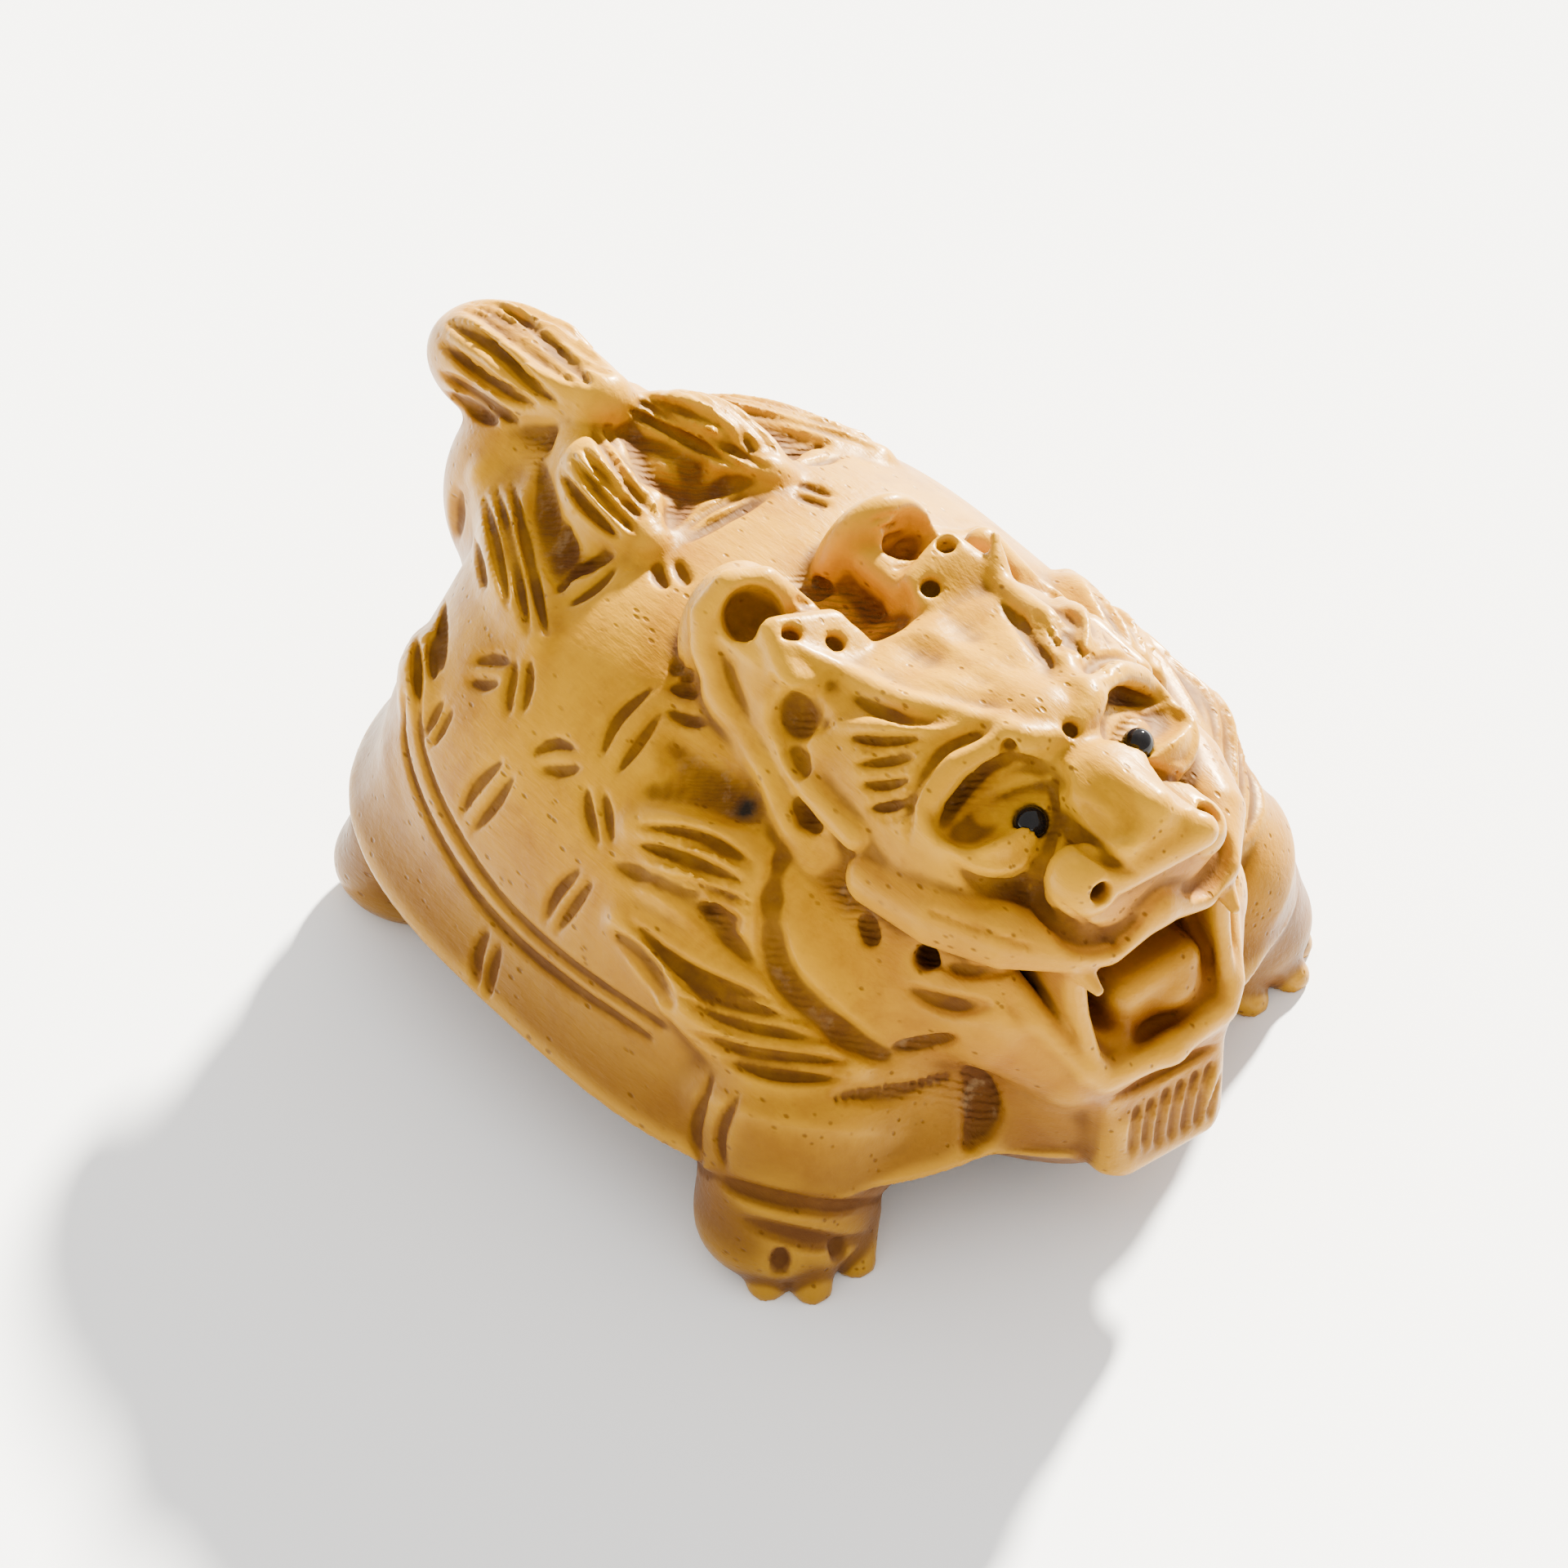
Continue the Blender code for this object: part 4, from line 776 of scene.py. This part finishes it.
def bead_finish():
    """Polished black, with the faintest wear and a film of dust."""
    bead = Finish("bead_polished")
    place = bead.node("ShaderNodeTexCoord", output="Object")
    film = bead.ramp(bead.noise(place, 1500.0, 4.0, 0.6), 0.45, 0.8)
    colour = bead.blend(film * 0.4, (0.004, 0.004, 0.005), (0.020, 0.017, 0.016))
    wear = bead.node("ShaderNodeBump", {}, {"Height": bead.noise(place, 2600.0, 3.0), "Strength": 0.05,
                                            "Distance": 0.00003})
    bead.shade(Base_Color=colour, Roughness=0.07 + 0.16 * film, Normal=wear)
    bead.constant(IOR=1.33, Specular_IOR_Level=0.35)
    return bead.material


def floor_finish():
    """Matt pale paper."""
    paper = Finish("floor_paper")
    place = paper.node("ShaderNodeTexCoord", output="Object")
    tone = paper.blend(paper.noise(place, 12.0, 3.0), (0.91, 0.945, 0.985), (0.93, 0.965, 1.0))
    paper.shade(Base_Color=tone, Roughness=0.9)
    return paper.material


def new_mesh(name, points, faces, material):
    """A smooth-shaded piece made of points and faces."""
    mesh = bpy.data.meshes.new(name)
    mesh.from_pydata(np.asarray(points).tolist(), [], [tuple(int(i) for i in face) for face in faces])
    mesh.shade_smooth()
    mesh.materials.append(material)
    item = bpy.data.objects.new(name, mesh)
    bpy.context.collection.objects.link(item)
    return item


def thinned(item, faces_left):
    """The piece with its mesh thinned to a number of triangles."""
    item.data.calc_loop_triangles()
    change = item.modifiers.new("thin", "DECIMATE")
    change.ratio = min(1.0, faces_left / len(item.data.loop_triangles))
    change.use_collapse_triangulate = True
    depsgraph = bpy.context.evaluated_depsgraph_get()
    mesh = bpy.data.meshes.new_from_object(item.evaluated_get(depsgraph))
    item.modifiers.clear()
    item.data = mesh
    return item


def softened(field, reach):
    """The field averaged over a box of so many samples each way, twice over."""
    for _ in range(2):
        for axis in range(3):
            pad = [(0, 0)] * 3
            pad[axis] = (reach + 1, reach)
            total = np.cumsum(np.pad(field, pad, mode="edge"), axis=axis, dtype=np.float64)
            size = field.shape[axis]
            upper = np.take(total, range(2 * reach + 1, 2 * reach + 1 + size), axis=axis)
            lower = np.take(total, range(0, size), axis=axis)
            field = ((upper - lower) / (2 * reach + 1)).astype(np.float32)
    return field


def bend(wood, points, reach):
    """How far the wood closes round each point, above zero in a cut, and how far it faces up."""
    plain = wood.field
    wood.field = softened(plain, max(1, round(reach / wood.grain)))
    closed = -wood.sample(points) / reach
    upward = wood.facing(points)[:, 2]
    wood.field = plain
    return closed, upward


def spot(wood, points, mark, radius):
    """A soft round patch where the view shows a mark."""
    centre = wood.seen((mark, (mark[0] + 1, mark[1])))[0]
    return np.exp(-((points - centre) ** 2).sum(axis=1) / radius ** 2)


def keep_mask(mesh, name, values):
    """Keep a value from 0 to 1 at each point, for the finish to read."""
    layer = mesh.attributes.new(name, "FLOAT", "POINT")
    layer.data.foreach_set("value", np.clip(values, 0, 1).astype(np.float32))


def rungs(first, last, stroke, count):
    """Short strokes side by side, from one place in the view to another."""
    return [np.array(((0, 0), stroke)) + np.array(first) * (1 - share) + np.array(last) * share
            for share in np.linspace(0, 1, count)]


def beside(lines, across, down):
    """The same lines, moved in the view."""
    return [np.array(line) + (across, down) for line in lines]


def fine_cuts(wood):
    """The knife's last fine lines on the seen side: in the locks and flutes, and the face's hatching."""
    cuts = (
        (TUFT_FLUTES + SHELL_HAIR, 0.8, 0.5),
        (FLAME_HAIR, 0.7, 0.5),
        (beside(FLAME_HAIR[:8], 5, 12), 0.6, 0.4),
        (beside(TUFT_FLUTES[:5], -4, -11), 0.5, 0.3),
        (rungs((1020, 1333), (1155, 1308), (8, 24), 14), 0.45, 0.25),
        (BROW_HAIR, 0.6, 0.4),
        (beside(BROW_HAIR, 6, 14), 0.5, 0.3),
        (rungs((1292, 1098), (1362, 1150), (20, 22), 9), 0.45, 0.3),
        (rungs((1130, 1112), (1236, 1150), (34, 14), 8), 0.4, 0.2),
        (rungs((1225, 735), (1330, 790), (26, 40), 7), 0.45, 0.25),
        (rungs((1060, 642), (1085, 700), (44, -16), 6), 0.45, 0.3),
    )
    for lines, width, depth in cuts:
        wood.gouge(lines, width, depth, both=False)


def make_turtle():
    """The carving, set in its solid's place, with what the finish needs kept at its points."""
    wood = carved_wood(FINE_GRAIN)
    fine_cuts(wood)
    seat = (frame_bead_size() / 2 + BEAD_SEAT) / STEP
    for centre in BEAD_CENTRES:
        wood.cut(egg(centre, (seat, seat, seat)))
    wood.level()
    points, faces = wood.faces()
    middle = (points.min(axis=0) + points.max(axis=0)) / 2 * (1, 1, 0)
    low, high = (np.array(corner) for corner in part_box("turtle_carving"))
    home = (low + high) / 2 * (1, 1, 0) - middle * STEP
    turtle = new_mesh("boxwood_turtle", points, faces, boxwood_finish())
    thinned(turtle, CARVING_FACES)
    mesh = turtle.data
    place = np.empty(len(mesh.vertices) * 3, dtype=np.float32)
    mesh.vertices.foreach_get("co", place)
    place = place.reshape(-1, 3).astype(float)
    fine, _ = bend(wood, place, FINE_BEND)
    wide, upward = bend(wood, place, WIDE_BEND)
    # the masks of the cuts and hollows carry painted shade as well as dirt and dust; the ridge mask carries
    # wear and a painted highlight
    keep_mask(mesh, "groove_dirt_and_shade", fine * 3.2)
    keep_mask(mesh, "ridge_wear_and_highlight", -fine * 2.2)
    keep_mask(mesh, "hollow_shade_and_dust", wide * 1.6)
    # how far each point faces up, for the painted shade on the lower sides
    keep_mask(mesh, "top", (1 + upward) / 2)
    room = MOUTH_HALF - np.abs(place - MOUTH_MIDDLE)
    keep_mask(mesh, "mouth_shade_and_patina", np.clip(room, 0, 1).prod(axis=1) * np.clip(1.1 + wide * 2.5, 0, 1))
    keep_mask(mesh, "stain", 1.6 * spot(wood, place, STAIN, 0.6))
    mesh.vertices.foreach_set("co", (place * STEP + home).astype(np.float32).ravel())
    mesh.update()
    mesh.shade_smooth()
    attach(turtle, "root")
    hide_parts("turtle_carving")
    return home


def frame_bead_size():
    """The diameter of a bead, from the frame."""
    low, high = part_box("left_eye_bead")
    return high[2] - low[2]


def make_bead(node, material):
    """A round bead of even facets, the size of its solid and in its place."""
    low, high = (np.array(corner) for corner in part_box(node))
    turns, rings = 64, 32
    fall = np.pi * np.arange(1, rings)[:, None] / rings
    way = 2 * np.pi * np.arange(turns) / turns
    points = np.stack((np.sin(fall) * np.cos(way), np.sin(fall) * np.sin(way),
                       np.cos(fall) + 0 * way), axis=2).reshape(-1, 3)
    points = np.vstack(((0, 0, 1), points, (0, 0, -1)))
    faces = []
    for j in range(turns):
        k = (j + 1) % turns
        faces.append((0, 1 + j, 1 + k))
        faces.append((len(points) - 1, 1 + (rings - 2) * turns + k, 1 + (rings - 2) * turns + j))
        for i in range(rings - 2):
            first = 1 + i * turns
            faces.append((first + j, first + turns + j, first + turns + k, first + k))
    points = points * (high - low) / 2 + (low + high) / 2
    bead = new_mesh(node.replace("bead", "jet"), points, faces, material)
    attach(bead, "root")
    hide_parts(node)


def aim(item, eye, right, up, back):
    """Set an item at the eye, turned to the view's axes."""
    turn = Matrix((right, up, back)).transposed()
    item.matrix_world = Matrix.Translation(Vector(eye)) @ turn.to_4x4()


def make_camera(home):
    """The camera that sees the part as the marks were drawn."""
    data = bpy.data.cameras.new("camera")
    data.sensor_width = 36.0
    data.lens = data.sensor_width * VIEW_SCALE * VIEW_REACH / (2 * VIEW_MIDDLE)
    data.clip_end = 10.0
    camera = bpy.data.objects.new("camera", data)
    bpy.context.collection.objects.link(camera)
    aim(camera, VIEW_EYE * STEP + home, VIEW_RIGHT, VIEW_UP, VIEW_BACK)
    bpy.context.scene.camera = camera


def make_floor():
    """A wide sheet under the feet."""
    corners = [(x * FLOOR_HALF, y * FLOOR_HALF, 0) for x, y in ((-1, -1), (1, -1), (1, 1), (-1, 1))]
    floor = new_mesh("floor", corners, [(0, 1, 2, 3)], floor_finish())


def make_lights():
    """A warm low key from behind on the right, and a strong even fill."""
    sun = bpy.data.lights.new("key", "SUN")
    sun.energy = KEY_STRENGTH
    sun.angle = KEY_SPREAD
    sun.color = KEY_COLOUR
    key = bpy.data.objects.new("key", sun)
    bpy.context.collection.objects.link(key)
    key.rotation_euler = Vector(KEY_WAY).to_track_quat("-Z", "Y").to_euler()
    world = bpy.data.worlds.new("studio")
    world.use_nodes = True
    sky = world.node_tree.nodes["Background"]
    sky.inputs["Color"].default_value = FILL_COLOUR
    sky.inputs["Strength"].default_value = FILL_STRENGTH
    bpy.context.scene.world = world


home = make_turtle()
black = bead_finish()
make_bead("left_eye_bead", black)
make_bead("right_eye_bead", black)
make_camera(home)
make_floor()
make_lights()
